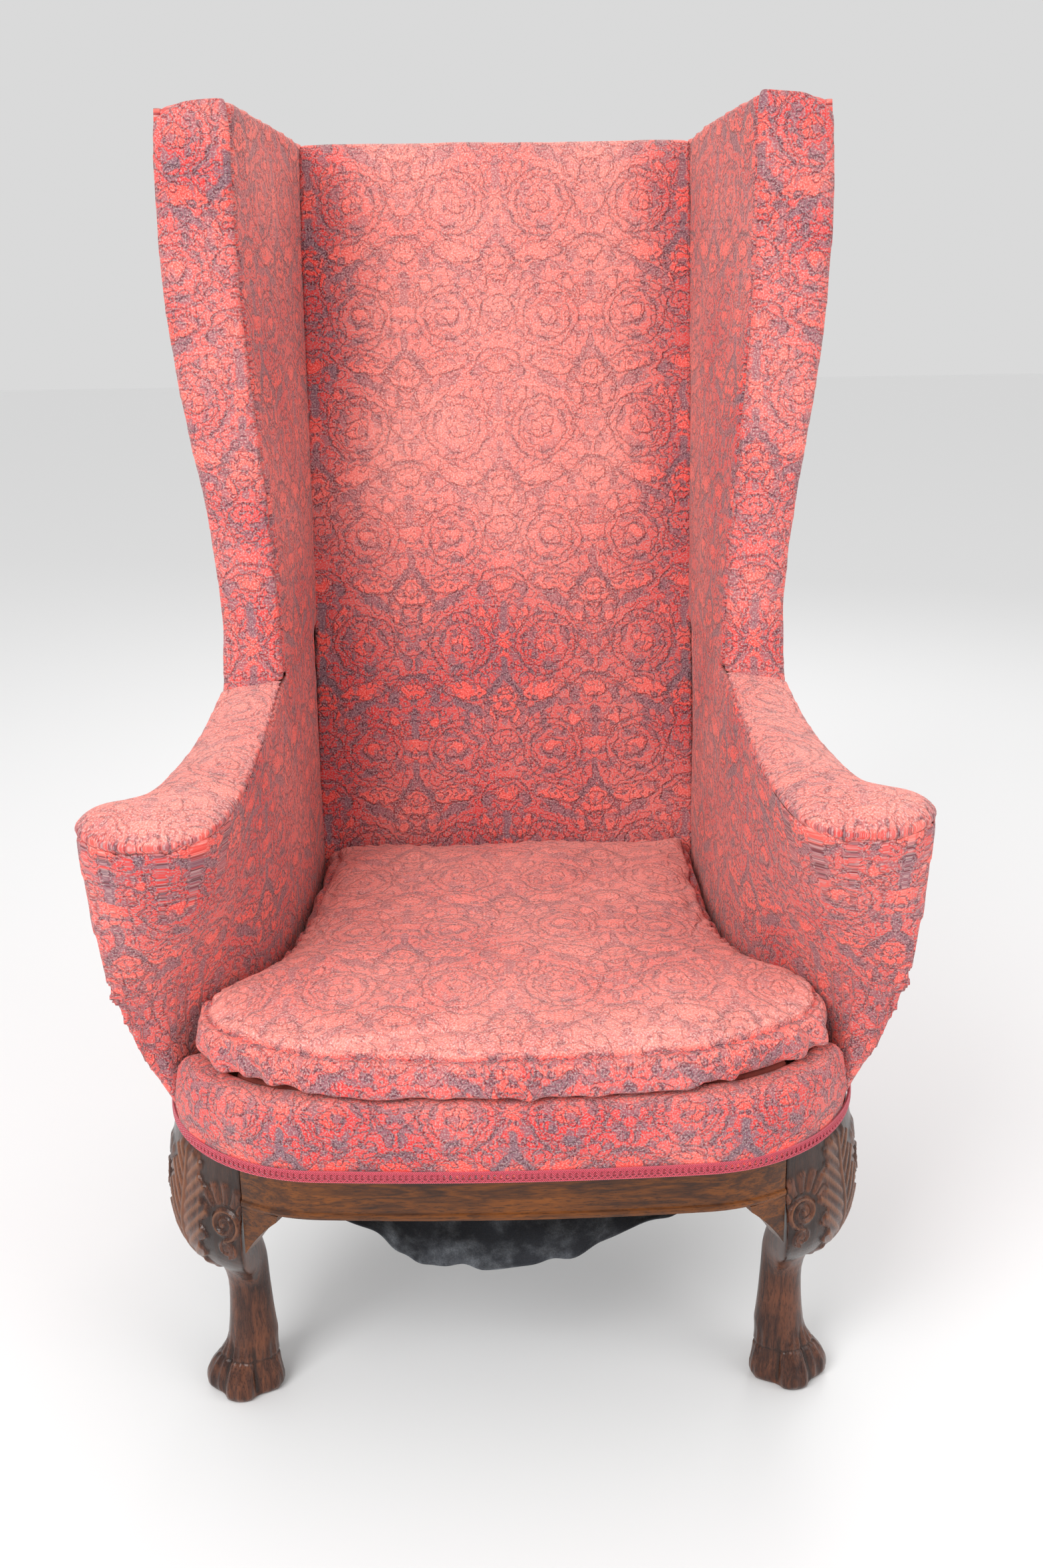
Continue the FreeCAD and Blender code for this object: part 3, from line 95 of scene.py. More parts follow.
def seat_line(inset, step):
    """Points along the seat line, from the back of the right side round to the back of the left side."""
    half = []
    bow = BOW_RADIUS - inset
    for angle in np.arange(0.0, BOW_ANGLE, step / bow):
        half.append((bow * math.sin(angle), BOW_CENTRE_Y - bow * math.cos(angle)))
    corner = CORNER_RADIUS - inset
    for angle in np.arange(BOW_ANGLE, SIDE_ANGLE, step / corner):
        half.append((CORNER[0] + corner * math.sin(angle), CORNER[1] - corner * math.cos(angle)))
    x, y = CORNER[0] + corner * math.sin(SIDE_ANGLE), CORNER[1] - corner * math.cos(SIDE_ANGLE)
    for run in np.arange(0.0, SEAT_BACK_Y - y, step):
        half.append((x - run * math.tan(SIDE_ANGLE - math.pi / 2), y + run))
    return [(-x, y) for x, y in reversed(half[1:])] + half


# Mesh tools

WELD_REACH = 2e-5
SHARP_EDGE_DEG = 36


def new_object(name, mesh):
    piece = bpy.data.objects.new(name, mesh)
    bpy.context.scene.collection.objects.link(piece)
    return piece


def mesh_from(name, edit):
    """A mesh of the edited shape, whose edit is then closed."""
    mesh = bpy.data.meshes.new(name)
    edit.to_mesh(mesh)
    edit.free()
    return mesh


def smooth_step(low, high, value):
    share = np.clip((value - low) / (high - low), 0.0, 1.0)
    return share * share * (3.0 - 2.0 * share)


def ripple(points, waves_per_metre, seed, count=14):
    """Soft unevenness from -1 to 1, made of plane waves in seeded directions."""
    draw = np.random.default_rng(seed)
    heights = np.zeros(len(points))
    for _ in range(count):
        direction = draw.normal(size=3)
        direction /= np.linalg.norm(direction)
        pace = 2 * math.pi * waves_per_metre * draw.uniform(0.6, 1.5)
        heights += np.sin(points @ direction * pace + draw.uniform(0.0, 2 * math.pi))
    return heights / math.sqrt(count)


def triples(rows, field):
    """Three numbers for each row of a mesh, as an array."""
    flat = np.empty(len(rows) * 3, dtype=np.float32)
    rows.foreach_get(field, flat)
    return flat.reshape(-1, 3).astype(float)


def places(mesh):
    return triples(mesh.vertices, "co")


def facing(mesh):
    return triples(mesh.vertex_normals, "vector")


def move_to(mesh, points):
    mesh.vertices.foreach_set("co", points.astype(np.float32).ravel())
    mesh.update()


def settled(piece):
    """The piece with its modifiers worked into a plain mesh."""
    view = bpy.context.evaluated_depsgraph_get()
    mesh = bpy.data.meshes.new_from_object(piece.evaluated_get(view), depsgraph=view)
    old = piece.data
    piece.modifiers.clear()
    piece.data = mesh
    mesh.name = piece.name
    bpy.data.meshes.remove(old)
    return piece


def subdivided(piece, levels):
    """The piece with finer, rounder faces."""
    rounded = piece.modifiers.new("rounded", "SUBSURF")
    rounded.levels = rounded.render_levels = levels
    return settled(piece)


def from_frame(name, *nodes, levels=2, crease=1.0):
    """One object with the welded shapes of CAD nodes, their facets rounded by subdivision."""
    whole = bmesh.new()
    for node in nodes:
        one = bmesh.new()
        one.from_mesh(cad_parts[node].data)
        bmesh.ops.remove_doubles(one, verts=one.verts, dist=WELD_REACH)
        bmesh.ops.dissolve_degenerate(one, edges=one.edges, dist=1e-5)
        bmesh.ops.recalc_face_normals(one, faces=one.faces)
        bmesh.ops.join_triangles(one, faces=one.faces, angle_face_threshold=math.radians(45),
                                 angle_shape_threshold=math.radians(60))
        part = mesh_from("part", one)
        whole.from_mesh(part)
        bpy.data.meshes.remove(part)
    creases = whole.edges.layers.float.new("crease_edge")
    for edge in whole.edges:
        if len(edge.link_faces) != 2 or edge.calc_face_angle(0.0) > math.radians(SHARP_EDGE_DEG):
            edge[creases] = crease
    piece = new_object(name, mesh_from(name, whole))
    return subdivided(piece, levels) if levels else piece


def remeshed(piece, size, rounds=4):
    """The piece as one even skin, its edges softened."""
    skin = piece.modifiers.new("skin", "REMESH")
    skin.mode = "VOXEL"
    skin.voxel_size = size
    if rounds:
        soft = piece.modifiers.new("soft", "SMOOTH")
        soft.factor = 0.5
        soft.iterations = rounds
    settled(piece)
    keep_outer_shell(piece.data)
    return piece


def keep_outer_shell(mesh):
    """Drops every loose part but the largest."""
    edit = bmesh.new()
    edit.from_mesh(mesh)
    edit.verts.ensure_lookup_table()
    seen = set()
    shells = []
    for start in edit.verts:
        if start.index in seen:
            continue
        shell, queue = [], [start]
        seen.add(start.index)
        while queue:
            vert = queue.pop()
            shell.append(vert)
            for edge in vert.link_edges:
                other = edge.other_vert(vert)
                if other.index not in seen:
                    seen.add(other.index)
                    queue.append(other)
        shells.append(shell)
    shells.sort(key=len)
    for shell in shells[:-1]:
        bmesh.ops.delete(edit, geom=shell, context="VERTS")
    edit.to_mesh(mesh)
    edit.free()


def shaded_smooth(piece):
    piece.data.polygons.foreach_set("use_smooth", [True] * len(piece.data.polygons))
    piece.data.update()
    return piece


def lay_cloth(piece, rule):
    """Gives the piece its cloth coordinates, in metres, from a rule on place and facet direction."""
    mesh = piece.data
    points = places(mesh)
    loops = np.empty(len(mesh.loops), dtype=np.int32)
    mesh.loops.foreach_get("vertex_index", loops)
    totals = np.empty(len(mesh.polygons), dtype=np.int32)
    mesh.polygons.foreach_get("loop_total", totals)
    per_loop = np.repeat(triples(mesh.polygons, "normal"), totals, axis=0)
    uv = rule(points[loops], per_loop)
    layer = mesh.uv_layers.new(name="cloth")
    layer.data.foreach_set("uv", np.column_stack(uv).astype(np.float32).ravel())


def mark(piece, name, amounts):
    """Keeps an amount from 0 to 1 at each point, such as how far the pile is worn and faded, together with
    painted sheen and painted shade.
    """
    layer = piece.data.attributes.new(name, "FLOAT", "POINT")
    layer.data.foreach_set("value", np.clip(amounts, 0.0, 1.0).astype(np.float32))


# Materials

class Amount:
    """One number that a material's nodes work out at each point."""

    def __init__(self, tree, socket):
        self.tree = tree
        self.socket = socket

    def worked(self, operation, *others):
        node = self.tree.nodes.new("ShaderNodeMath")
        node.operation = operation
        for place, value in enumerate((self,) + others):
            if isinstance(value, Amount):
                self.tree.links.new(value.socket, node.inputs[place])
            else:
                node.inputs[place].default_value = value
        return Amount(self.tree, node.outputs[0])

    def __add__(self, other):
        return self.worked("ADD", other)

    def __sub__(self, other):
        return self.worked("SUBTRACT", other)

    def __mul__(self, other):
        return self.worked("MULTIPLY", other)

    def size(self):
        return self.worked("ABSOLUTE")

    def fold(self, length):
        return self.worked("PINGPONG", length)

    def wrap(self, high, low):
        return self.worked("WRAP", high, low)

    def least(self, *others):
        result = self
        for other in others:
            result = result.worked("MINIMUM", other)
        return result

    def most(self, other):
        return self.worked("MAXIMUM", other)

    def stepped(self, low, high, start=0.0, end=1.0):
        node = self.tree.nodes.new("ShaderNodeMapRange")
        node.interpolation_type = "SMOOTHSTEP"
        self.tree.links.new(self.socket, node.inputs["Value"])
        set_inputs(node, {"From Min": low, "From Max": high, "To Min": start, "To Max": end})
        return Amount(self.tree, node.outputs[0])


def set_inputs(node, values):
    for name, value in values.items():
        node.inputs[name].default_value = value


def marked(tree, name):
    """Amount that a piece keeps at its points under a name."""
    node = tree.nodes.new("ShaderNodeAttribute")
    node.attribute_name = name
    return Amount(tree, node.outputs["Fac"])


def vector_node(tree, operation, first, second=None):
    """Result socket of a vector sum, each input a socket or three numbers."""
    node = tree.nodes.new("ShaderNodeVectorMath")
    node.operation = operation
    for place, value in enumerate((first, second)):
        if value is None:
            continue
        if isinstance(value, bpy.types.NodeSocket):
            tree.links.new(value, node.inputs[place])
        else:
            node.inputs[place].default_value = value
    return node.outputs["Value"] if operation in ("LENGTH", "DOT_PRODUCT") else node.outputs["Vector"]


def joined_vector(tree, x, y):
    node = tree.nodes.new("ShaderNodeCombineXYZ")
    tree.links.new(x.socket, node.inputs[0])
    tree.links.new(y.socket, node.inputs[1])
    return node.outputs[0]


def split_vector(tree, vector):
    node = tree.nodes.new("ShaderNodeSeparateXYZ")
    tree.links.new(vector, node.inputs[0])
    return [Amount(tree, node.outputs[i]) for i in range(3)]


def stroke(tree, place, start, end, radius):
    """Distance to a straight stroke with round ends."""
    along = (end[0] - start[0], end[1] - start[1])
    length = along[0] ** 2 + along[1] ** 2
    from_start = vector_node(tree, "SUBTRACT", place, (start[0], start[1], 0.0))
    share = vector_node(tree, "DOT_PRODUCT", from_start, (along[0] / length, along[1] / length, 0.0))
    clamped = Amount(tree, share).worked("ADD", 0.0)
    clamped.socket.node.use_clamp = True
    reach = tree.nodes.new("ShaderNodeVectorMath")
    reach.operation = "SCALE"
    reach.inputs[0].default_value = (along[0], along[1], 0.0)
    tree.links.new(clamped.socket, reach.inputs["Scale"])
    away = vector_node(tree, "SUBTRACT", from_start, reach.outputs[0])
    return Amount(tree, vector_node(tree, "LENGTH", away)) - radius


def leaf_shape(tree, place, centre, half_size, degrees):
    """Rough distance to an oval leaf."""
    moved = vector_node(tree, "SUBTRACT", place, (centre[0], centre[1], 0.0))
    turned = tree.nodes.new("ShaderNodeVectorRotate")
    turned.rotation_type = "Z_AXIS"
    turned.inputs["Angle"].default_value = -math.radians(degrees)
    tree.links.new(moved, turned.inputs["Vector"])
    scaled = vector_node(tree, "MULTIPLY", turned.outputs[0], (1 / half_size[0], 1 / half_size[1], 0.0))
    return (Amount(tree, vector_node(tree, "LENGTH", scaled)) - 1.0) * min(half_size)


def ring_shape(tree, place, centre, radius):
    """Distance to a thin ring."""
    moved = vector_node(tree, "SUBTRACT", place, (centre[0], centre[1], 0.0))
    return (Amount(tree, vector_node(tree, "LENGTH", moved)) - radius).size()


REPEAT_WIDTH = 215.0
REPEAT_HEIGHT = 252.0


def motif_group():
    """One column of the damask, in millimetres from its forked patch: ground, outline and figure."""
    tree = bpy.data.node_groups.new("damask motif", "ShaderNodeTree")
    for name in ("Across", "Up"):
        tree.interface.new_socket(name, in_out="INPUT", socket_type="NodeSocketFloat")
    for name in ("Ground", "Outline", "Figure"):
        tree.interface.new_socket(name, in_out="OUTPUT", socket_type="NodeSocketFloat")
    given = tree.nodes.new("NodeGroupInput")
    across = Amount(tree, given.outputs["Across"]).fold(REPEAT_WIDTH / 2)
    up = Amount(tree, given.outputs["Up"]).wrap(REPEAT_HEIGHT - 75.0, -75.0)
    at = joined_vector(tree, across, up)
    ground = stroke(tree, at, (0, -2), (0, 18), 4.5).least(
        stroke(tree, at, (0, -1), (18, -21), 4.5), stroke(tree, at, (0, 53), (0, 82), 4.5),
        leaf_shape(tree, at, (43, -39), (24, 5.5), 28), leaf_shape(tree, at, (55, 9), (10, 5), -18),
        leaf_shape(tree, at, (24, 100), (5, 9), 20))
    rosette = leaf_shape(tree, at, (0, -29), (21, 17), 0)
    petals = vector_node(tree, "SUBTRACT", at, (0.0, -29.0, 0.0))
    x, y, _ = split_vector(tree, petals)
    lobes = (x.worked("ARCTAN2", y) * 7.0).worked("SINE") * 1.6
    rosette = rosette + lobes
    heart = leaf_shape(tree, at, (0, -27), (9, 8), 0)
    leaf = leaf_shape(tree, at, (46, -19), (30, 11), 10)
    bud = leaf_shape(tree, at, (50, 36), (14, 10), 40)
    flower = leaf_shape(tree, at, (0, 106), (17, 11), 0) + lobes
    small = leaf_shape(tree, at, (88, 74), (9, 16), 25)
    side_leaf = leaf_shape(tree, at, (22, 66), (7, 17), -25)
    dome = ring_shape(tree, at, (0, 96), 29.0).most(up * -1.0 + 97.0)
    outline = (rosette.size() - 0.9).least(
        leaf.size() - 0.9, flower.size() - 0.9, bud.size() - 0.8, heart.size() - 0.7, small.size() - 0.7,
        side_leaf.size() - 0.7, dome - 1.1, ring_shape(tree, at, (50, 35), 27.0) - 0.8,
        ring_shape(tree, at, (50, 35), 36.0) - 1.0,
        stroke(tree, at, (19, -37), (0, -53), 0.9), ring_shape(tree, at, (107.5, 40), 19.0) - 0.8)
    figure = rosette.least(leaf, flower, bud, small, side_leaf, stroke(tree, at, (0, 26), (0, 46), 7.0))
    out = tree.nodes.new("NodeGroupOutput")
    tree.links.new(ground.stepped(-1.6, 1.6, 1.0, 0.0).socket, out.inputs["Ground"])
    tree.links.new(outline.stepped(-0.8, 1.2, 1.0, 0.0).socket, out.inputs["Outline"])
    tree.links.new(figure.stepped(-1.5, 1.5, 1.0, 0.0).socket, out.inputs["Figure"])
    return tree


def colour(red, green, blue):
    """A colour as it is seen, from 0 to 255, in the renderer's own scale."""
    return tuple(c / 12.92 if c <= 0.04045 else ((c + 0.055) / 1.055) ** 2.4
                 for c in (red / 255, green / 255, blue / 255)) + (1.0,)


def mixed(tree, share, first, second):
    """Colour between two, by an amount."""
    node = tree.nodes.new("ShaderNodeMix")
    node.data_type = "RGBA"
    node.clamp_factor = True
    if isinstance(share, Amount):
        tree.links.new(share.socket, node.inputs[0])
    else:
        node.inputs[0].default_value = share
    for place, value in ((6, first), (7, second)):
        if isinstance(value, bpy.types.NodeSocket):
            tree.links.new(value, node.inputs[place])
        else:
            node.inputs[place].default_value = value
    return node.outputs[2]


def grain(tree, vector, scale, detail=2.0, roughness=0.5, tint=False):
    """Noise on a vector, as an amount or as a colour socket."""
    node = tree.nodes.new("ShaderNodeTexNoise")
    set_inputs(node, {"Scale": scale, "Detail": detail, "Roughness": roughness})
    tree.links.new(vector, node.inputs["Vector"])
    return node.outputs["Color"] if tint else Amount(tree, node.outputs["Fac"])


def new_material(name):
    """An empty material and its shader."""
    material = bpy.data.materials.new(name)
    material.use_nodes = True
    tree = material.node_tree
    return material, tree, tree.nodes["Principled BSDF"]


BUMP_STRENGTH = 0.8


def raise_surface(tree, shader, height, distance):
    bump = tree.nodes.new("ShaderNodeBump")
    set_inputs(bump, {"Distance": distance, "Strength": BUMP_STRENGTH})
    tree.links.new(height.socket, bump.inputs["Height"])
    tree.links.new(bump.outputs[0], shader.inputs["Normal"])


MOTIF = motif_group()
# Damask colours. The pale pile and ground are faded velvet and also give a painted sheen on upward faces; the
# deep coral also gives painted shade at edges and seams.
CORAL = colour(242, 84, 72)
DEEP_CORAL = colour(228, 54, 52)
FADED_AND_SHEEN = colour(252, 150, 138)
GREY_GROUND = colour(104, 92, 106)
FADED_AND_SHEEN_GROUND = colour(158, 112, 118)
DARK_LINE = colour(92, 20, 30)


def damask_velvet(name):
    """Cut velvet with a woven damask: coral pile, grey-mauve ground and dark outlines, faded by wear, with
    painted light: paler on upward faces as a painted sheen, deeper at edges and seams as painted shade.
    """
    material, tree, shader = new_material(name)
    cloth = tree.nodes.new("ShaderNodeUVMap")
    cloth.uv_map = "cloth"
    # Amount kept at each point: real fading of the pile together with painted light, high on upward faces for
    # a painted sheen and low at edges and seams for painted shade.
    wear_and_light = marked(tree, "wear_and_light")
    unworn_and_shaded = wear_and_light * -1.0 + 1.0
    waver = grain(tree, cloth.outputs[0], 70.0, 3.0, tint=True)
    shift = vector_node(tree, "SUBTRACT", waver, (0.5, 0.5, 0.5))
    shift = vector_node(tree, "MULTIPLY", shift, (13.0, 13.0, 0.0))
    scaled = vector_node(tree, "MULTIPLY", cloth.outputs[0], (1000.0, 1000.0, 0.0))
    across, up, _ = split_vector(tree, vector_node(tree, "ADD", scaled, shift))
    masks = {}
    for shift_across, shift_up in ((0.0, 0.0), (REPEAT_WIDTH / 2, REPEAT_HEIGHT / 2)):
        motif = tree.nodes.new("ShaderNodeGroup")
        motif.node_tree = MOTIF
        tree.links.new((across + shift_across).socket, motif.inputs["Across"])
        tree.links.new((up + shift_up).socket, motif.inputs["Up"])
        for mask in ("Ground", "Outline", "Figure"):
            amount = Amount(tree, motif.outputs[mask])
            masks[mask] = masks[mask].most(amount) if mask in masks else amount
    figure = masks["Figure"]
    broad = grain(tree, cloth.outputs[0], 9.0, 3.0)
    turned = joined_vector(tree, across.fold(REPEAT_WIDTH / 2), up.wrap(REPEAT_HEIGHT, 0.0))
    vein = (grain(tree, turned, 0.052, 1.5) * 6.5).fold(0.5)
    vein = vein.stepped(0.05, 0.17, 1.0, 0.0)
    leaves = grain(tree, turned, 0.075, 1.0).stepped(0.40, 0.47, 1.0, 0.0)
    dots = grain(tree, cloth.outputs[0], 520.0, 2.0, 0.7)
    weft = grain(tree, vector_node(tree, "MULTIPLY", cloth.outputs[0], (260.0, 900.0, 0.0)), 1.0, 1.0)
    pile = mixed(tree, wear_and_light + (broad - 0.5) * 0.9, DEEP_CORAL, FADED_AND_SHEEN)
    pile = mixed(tree, figure * 0.5, pile, mixed(tree, wear_and_light, CORAL, FADED_AND_SHEEN))
    plain = (figure * -1.0 + 1.0) * (dots.stepped(0.42, 0.62))
    pile = mixed(tree, plain * (unworn_and_shaded * 0.55 + 0.12), pile, mixed(tree, wear_and_light, GREY_GROUND, FADED_AND_SHEEN_GROUND))
    ground = masks["Ground"].most(leaves * 0.8) * (unworn_and_shaded * 0.6 + 0.38) * dots.stepped(0.2, 0.55, 0.75, 1.0)
    pile = mixed(tree, ground, pile, mixed(tree, wear_and_light * 0.7, GREY_GROUND, FADED_AND_SHEEN_GROUND))
    shade = mixed(tree, dots.stepped(0.35, 0.6), DARK_LINE, GREY_GROUND)
    pile = mixed(tree, vein * (unworn_and_shaded * 0.62 + 0.26), pile, shade)
    pile = mixed(tree, masks["Outline"] * (unworn_and_shaded * 0.4 + 0.3), pile, shade)
    # Painted highlight on the raised pile tufts and painted shade between them, following the pile bump.
    light = mixed(tree, dots.stepped(0.44, 0.72) * (wear_and_light * 0.45 + 0.42), pile, colour(255, 200, 190))
    pile = mixed(tree, dots.stepped(0.5, 0.25) * 0.35, light, colour(120, 25, 32))
    tree.links.new(pile, shader.inputs["Base Color"])
    set_inputs(shader, {"Roughness": 0.86, "Specular IOR Level": 0.25, "Sheen Weight": 0.35,
                        "Sheen Roughness": 0.45, "Sheen Tint": (1.0, 0.62, 0.55, 1.0)})
    height = figure * 0.35 + dots * 0.35 + weft * 0.2 - masks["Outline"] * 0.5 - vein * 0.3 - ground * 0.4
    raise_surface(tree, shader, height, 0.0024)
    return material


def object_place(tree, scale=(1.0, 1.0, 1.0)):
    coordinates = tree.nodes.new("ShaderNodeTexCoord")
    mapping = tree.nodes.new("ShaderNodeMapping")
    set_inputs(mapping, {"Scale": scale})
    tree.links.new(coordinates.outputs["Object"], mapping.inputs["Vector"])
    return mapping.outputs[0]


def polished_walnut(name, along, dark, light, gloss=0.3, carved=False):
    """Old polished walnut, its figure running along one axis."""
    material, tree, shader = new_material(name)
    stretch = [26.0, 26.0, 26.0]
    stretch["xyz".index(along)] = 3.2
    place = object_place(tree, tuple(stretch))
    figure = grain(tree, place, 1.0, 5.0, 0.6)
    rings = (figure * 9.0).fold(0.5) * 2.0
    pores = grain(tree, vector_node(tree, "MULTIPLY", place, (9.0, 9.0, 9.0)), 3.0, 3.0, 0.7)
    patina = grain(tree, object_place(tree), 14.0, 3.0)
    wood = mixed(tree, rings * 0.55 + patina.stepped(0.35, 0.7) * 0.45, dark, light)
    wood = mixed(tree, pores.stepped(0.52, 0.36) * 0.6, wood, tuple(c * 0.35 for c in dark[:3]) + (1.0,))
    if carved:
        # Painted light from the carving height: painted shade, with some grime, darkens the hollows and
        # grooves, and a painted highlight, with some rubbing, lightens the raised relief.
        height = marked(tree, "carving")
        wood = mixed(tree, height.stepped(0.34, 0.02) * 0.75, wood, colour(24, 13, 9))
        wood = mixed(tree, height.stepped(0.55, 1.0) * 0.45, wood, colour(150, 98, 66))
    tree.links.new(wood, shader.inputs["Base Color"])
    rough = patina * 0.22 + pores * 0.14 + (gloss - 0.16)
    tree.links.new(rough.socket, shader.inputs["Roughness"])
    set_inputs(shader, {"Coat Weight": 0.1, "Specular IOR Level": 0.35, "Coat Roughness": 0.22})
    raise_surface(tree, shader, pores * 0.5 + figure * 0.3, 0.0005)
    return material


def plain_weave(name, thread, gap, pitch, rough=0.9):
    """Open plain weave of coarse threads."""
    material, tree, shader = new_material(name)
    x, y, z = split_vector(tree, object_place(tree))
    pace = math.pi / pitch
    warp = ((x * pace).worked("SINE")).size()
    weft = (((y + z) * pace).worked("SINE")).size()
    uneven = grain(tree, object_place(tree), 160.0, 3.0)
    threads = warp.most(weft) * 0.7 + uneven * 0.3
    tree.links.new(mixed(tree, threads.stepped(0.45, 0.9), gap, thread), shader.inputs["Base Color"])
    shader.inputs["Roughness"].default_value = rough
    raise_surface(tree, shader, threads, 0.0008)
    return material


def worn_steel(name):
    material, tree, shader = new_material(name)
    spots = grain(tree, object_place(tree), 90.0, 4.0, 0.6)
    tree.links.new(mixed(tree, spots.stepped(0.4, 0.7), colour(92, 88, 84), colour(120, 80, 55)),
                   shader.inputs["Base Color"])
    shader.inputs["Metallic"].default_value = 0.85
    tree.links.new((spots * 0.5 + 0.2).socket, shader.inputs["Roughness"])
    raise_surface(tree, shader, spots, 0.0003)
    return material


def braid_silk(name):
    """Crimson gimp silk, its threads slanting round the cords."""
    material, tree, shader = new_material(name)
    x, y, z = split_vector(tree, object_place(tree))
    twist = (((x + y) * 1.2 + z) * 2600.0).worked("SINE")
    dust = grain(tree, object_place(tree), 240.0, 3.0)
    silk = mixed(tree, twist.stepped(-0.9, 0.9) * 0.7 + dust * 0.3, colour(150, 28, 50), colour(232, 88, 108))
    tree.links.new(silk, shader.inputs["Base Color"])
    set_inputs(shader, {"Roughness": 0.55, "Sheen Weight": 0.3})
    raise_surface(tree, shader, twist * 0.5 + dust, 0.0004)
    return material


def dust_cloth(name):
    """Black cotton under the seat, greyed with dust."""
    material, tree, shader = new_material(name)
    dust = grain(tree, object_place(tree), 26.0, 5.0, 0.65)
    fine = grain(tree, object_place(tree), 700.0, 1.0)
    cloth = mixed(tree, dust.stepped(0.4, 0.75), colour(46, 48, 54), colour(112, 116, 122))
    tree.links.new(mixed(tree, fine.stepped(0.3, 0.7) * 0.3, cloth, colour(14, 14, 16)),
                   shader.inputs["Base Color"])
    shader.inputs["Roughness"].default_value = 0.95
    raise_surface(tree, shader, fine, 0.0004)
    return material


def platform_linen(name):
    """Rust linen over the stuffing, under the cushion."""
    material, tree, shader = new_material(name)
    x, y, z = split_vector(tree, object_place(tree))
    threads = ((x * 2200.0).worked("SINE")).size().most(((y + z) * 2200.0).worked("SINE").size())
    faded = grain(tree, object_place(tree), 9.0, 4.0)
    linen = mixed(tree, faded.stepped(0.35, 0.7), colour(132, 52, 44), colour(176, 92, 76))
    tree.links.new(mixed(tree, threads.stepped(0.9, 0.5) * 0.5, linen, colour(84, 34, 30)),
                   shader.inputs["Base Color"])
    shader.inputs["Roughness"].default_value = 0.92
    raise_surface(tree, shader, threads, 0.0004)
    return material


VELVET = damask_velvet("damask velvet")
RAIL_WALNUT = polished_walnut("rail walnut", "x", colour(52, 23, 2), colour(124, 66, 6))
SIDE_WALNUT = polished_walnut("side rail walnut", "y", colour(52, 23, 2), colour(124, 66, 6))
LEG_WALNUT = polished_walnut("leg walnut", "z", colour(46, 22, 15), colour(124, 74, 48), 0.26)
CARVED_WALNUT = polished_walnut("carved walnut", "z", colour(46, 22, 15), colour(112, 64, 40), 0.26, True)
FRAME_WOOD = polished_walnut("frame beech", "x", colour(150, 112, 70), colour(196, 160, 112), 0.6)
JUTE = plain_weave("jute webbing", colour(176, 146, 100), colour(84, 64, 40), 0.0028)
HESSIAN = plain_weave("hessian", colour(170, 140, 96), colour(70, 54, 34), 0.002)
STEEL = worn_steel("spring steel")
SILK = braid_silk("gimp silk")
DUST_CLOTH = dust_cloth("dust cloth")
LINEN = platform_linen("platform linen")


def finish_piece(piece, material, body="chair"):
    """Gives a piece its one material and the body that it moves with."""
    piece.data.materials.clear()
    piece.data.materials.append(material)
    shaded_smooth(piece)
    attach(piece, body)
    return piece


# Cloth coordinates: 0, 0 is the middle of a forked patch of the damask

SLOPE = math.sqrt(1 + BACK_RAKE ** 2)
BACK_PATCH_Z = 0.649
BORDER_PATCH_Z = 0.346
ARM_LINE = ((0.2225, 0.156), (0.2257, 0.053), (0.2302, -0.040), (0.2361, -0.105), (0.2446, -0.163),
            (0.2551, -0.215), (0.2666, -0.254), (0.2811, -0.281), (0.3001, -0.299), (0.3202, -0.308),
            (0.3413, -0.312), (0.3595, -0.313), (0.3745, -0.310), (0.3853, -0.303))
OUTER_LINE = ((0.420, -0.293), (0.385, -0.283), (0.360, -0.262), (0.345, -0.200), (0.338, -0.10),
              (0.325, 0.0), (0.310, 0.12), (0.290, 0.25))


def run_along(line, points):
    """Length along a plan line to the place nearest each point."""
    line = np.array(line)
    flat = np.column_stack((np.abs(points[:, 0]), points[:, 1]))
    best = np.full(len(flat), np.inf)
    run = np.zeros(len(flat))
    start = 0.0
    last = len(line) - 2
    for i, (a, b) in enumerate(zip(line, line[1:])):
        size = np.linalg.norm(b - a)
        share = (flat - a) @ (b - a) / size ** 2
        share = np.clip(share, -9.0 if i == 0 else 0.0, 9.0 if i == last else 1.0)
        away = np.linalg.norm(flat - a - share[:, None] * (b - a), axis=1)
        nearer = away < best
        best = np.where(nearer, away, best)
        run = np.where(nearer, start + share * size, run)
        start += size
    return run


def round_seat(points):
    """Length round the seat line from the middle of the front."""
    side = np.abs(points[:, 0])
    angle = np.arctan2(side - CORNER[0], CORNER[1] - points[:, 1])
    run = np.where(side < CORNER[0], side, CORNER[0] + CORNER_RADIUS * np.maximum(angle, 0.0))
    return np.sign(points[:, 0]) * run


def back_rule(points, normals):
    return points[:, 0], (points[:, 2] - BACK_PATCH_Z) * SLOPE


def side_rule(points, normals):
    """Inside wing and arm: the cloth carries on from the inside back round to the front of the arm."""
    run = BACK_HALF_WIDTH + run_along(ARM_LINE, points)
    return np.sign(points[:, 0]) * run, (points[:, 2] - BACK_PATCH_Z) * SLOPE


def outer_rule(points, normals):
    return run_along(OUTER_LINE, points), points[:, 2] - BACK_PATCH_Z


def flat_rule(points, normals):
    return points[:, 0], points[:, 1]


def facing_rule(points, normals):
    return np.abs(points[:, 0]) - 0.262, points[:, 2] - BACK_PATCH_Z - 0.05


def seat_inset(points):
    """How far each point lies inside the seat line."""
    side = np.abs(points[:, 0])
    on_bow = BOW_RADIUS - np.hypot(side, points[:, 1] - BOW_CENTRE_Y)
    on_corner = CORNER_RADIUS - np.hypot(side - CORNER[0], points[:, 1] - CORNER[1])
    return np.where(side < CORNER[0], on_bow, on_corner)


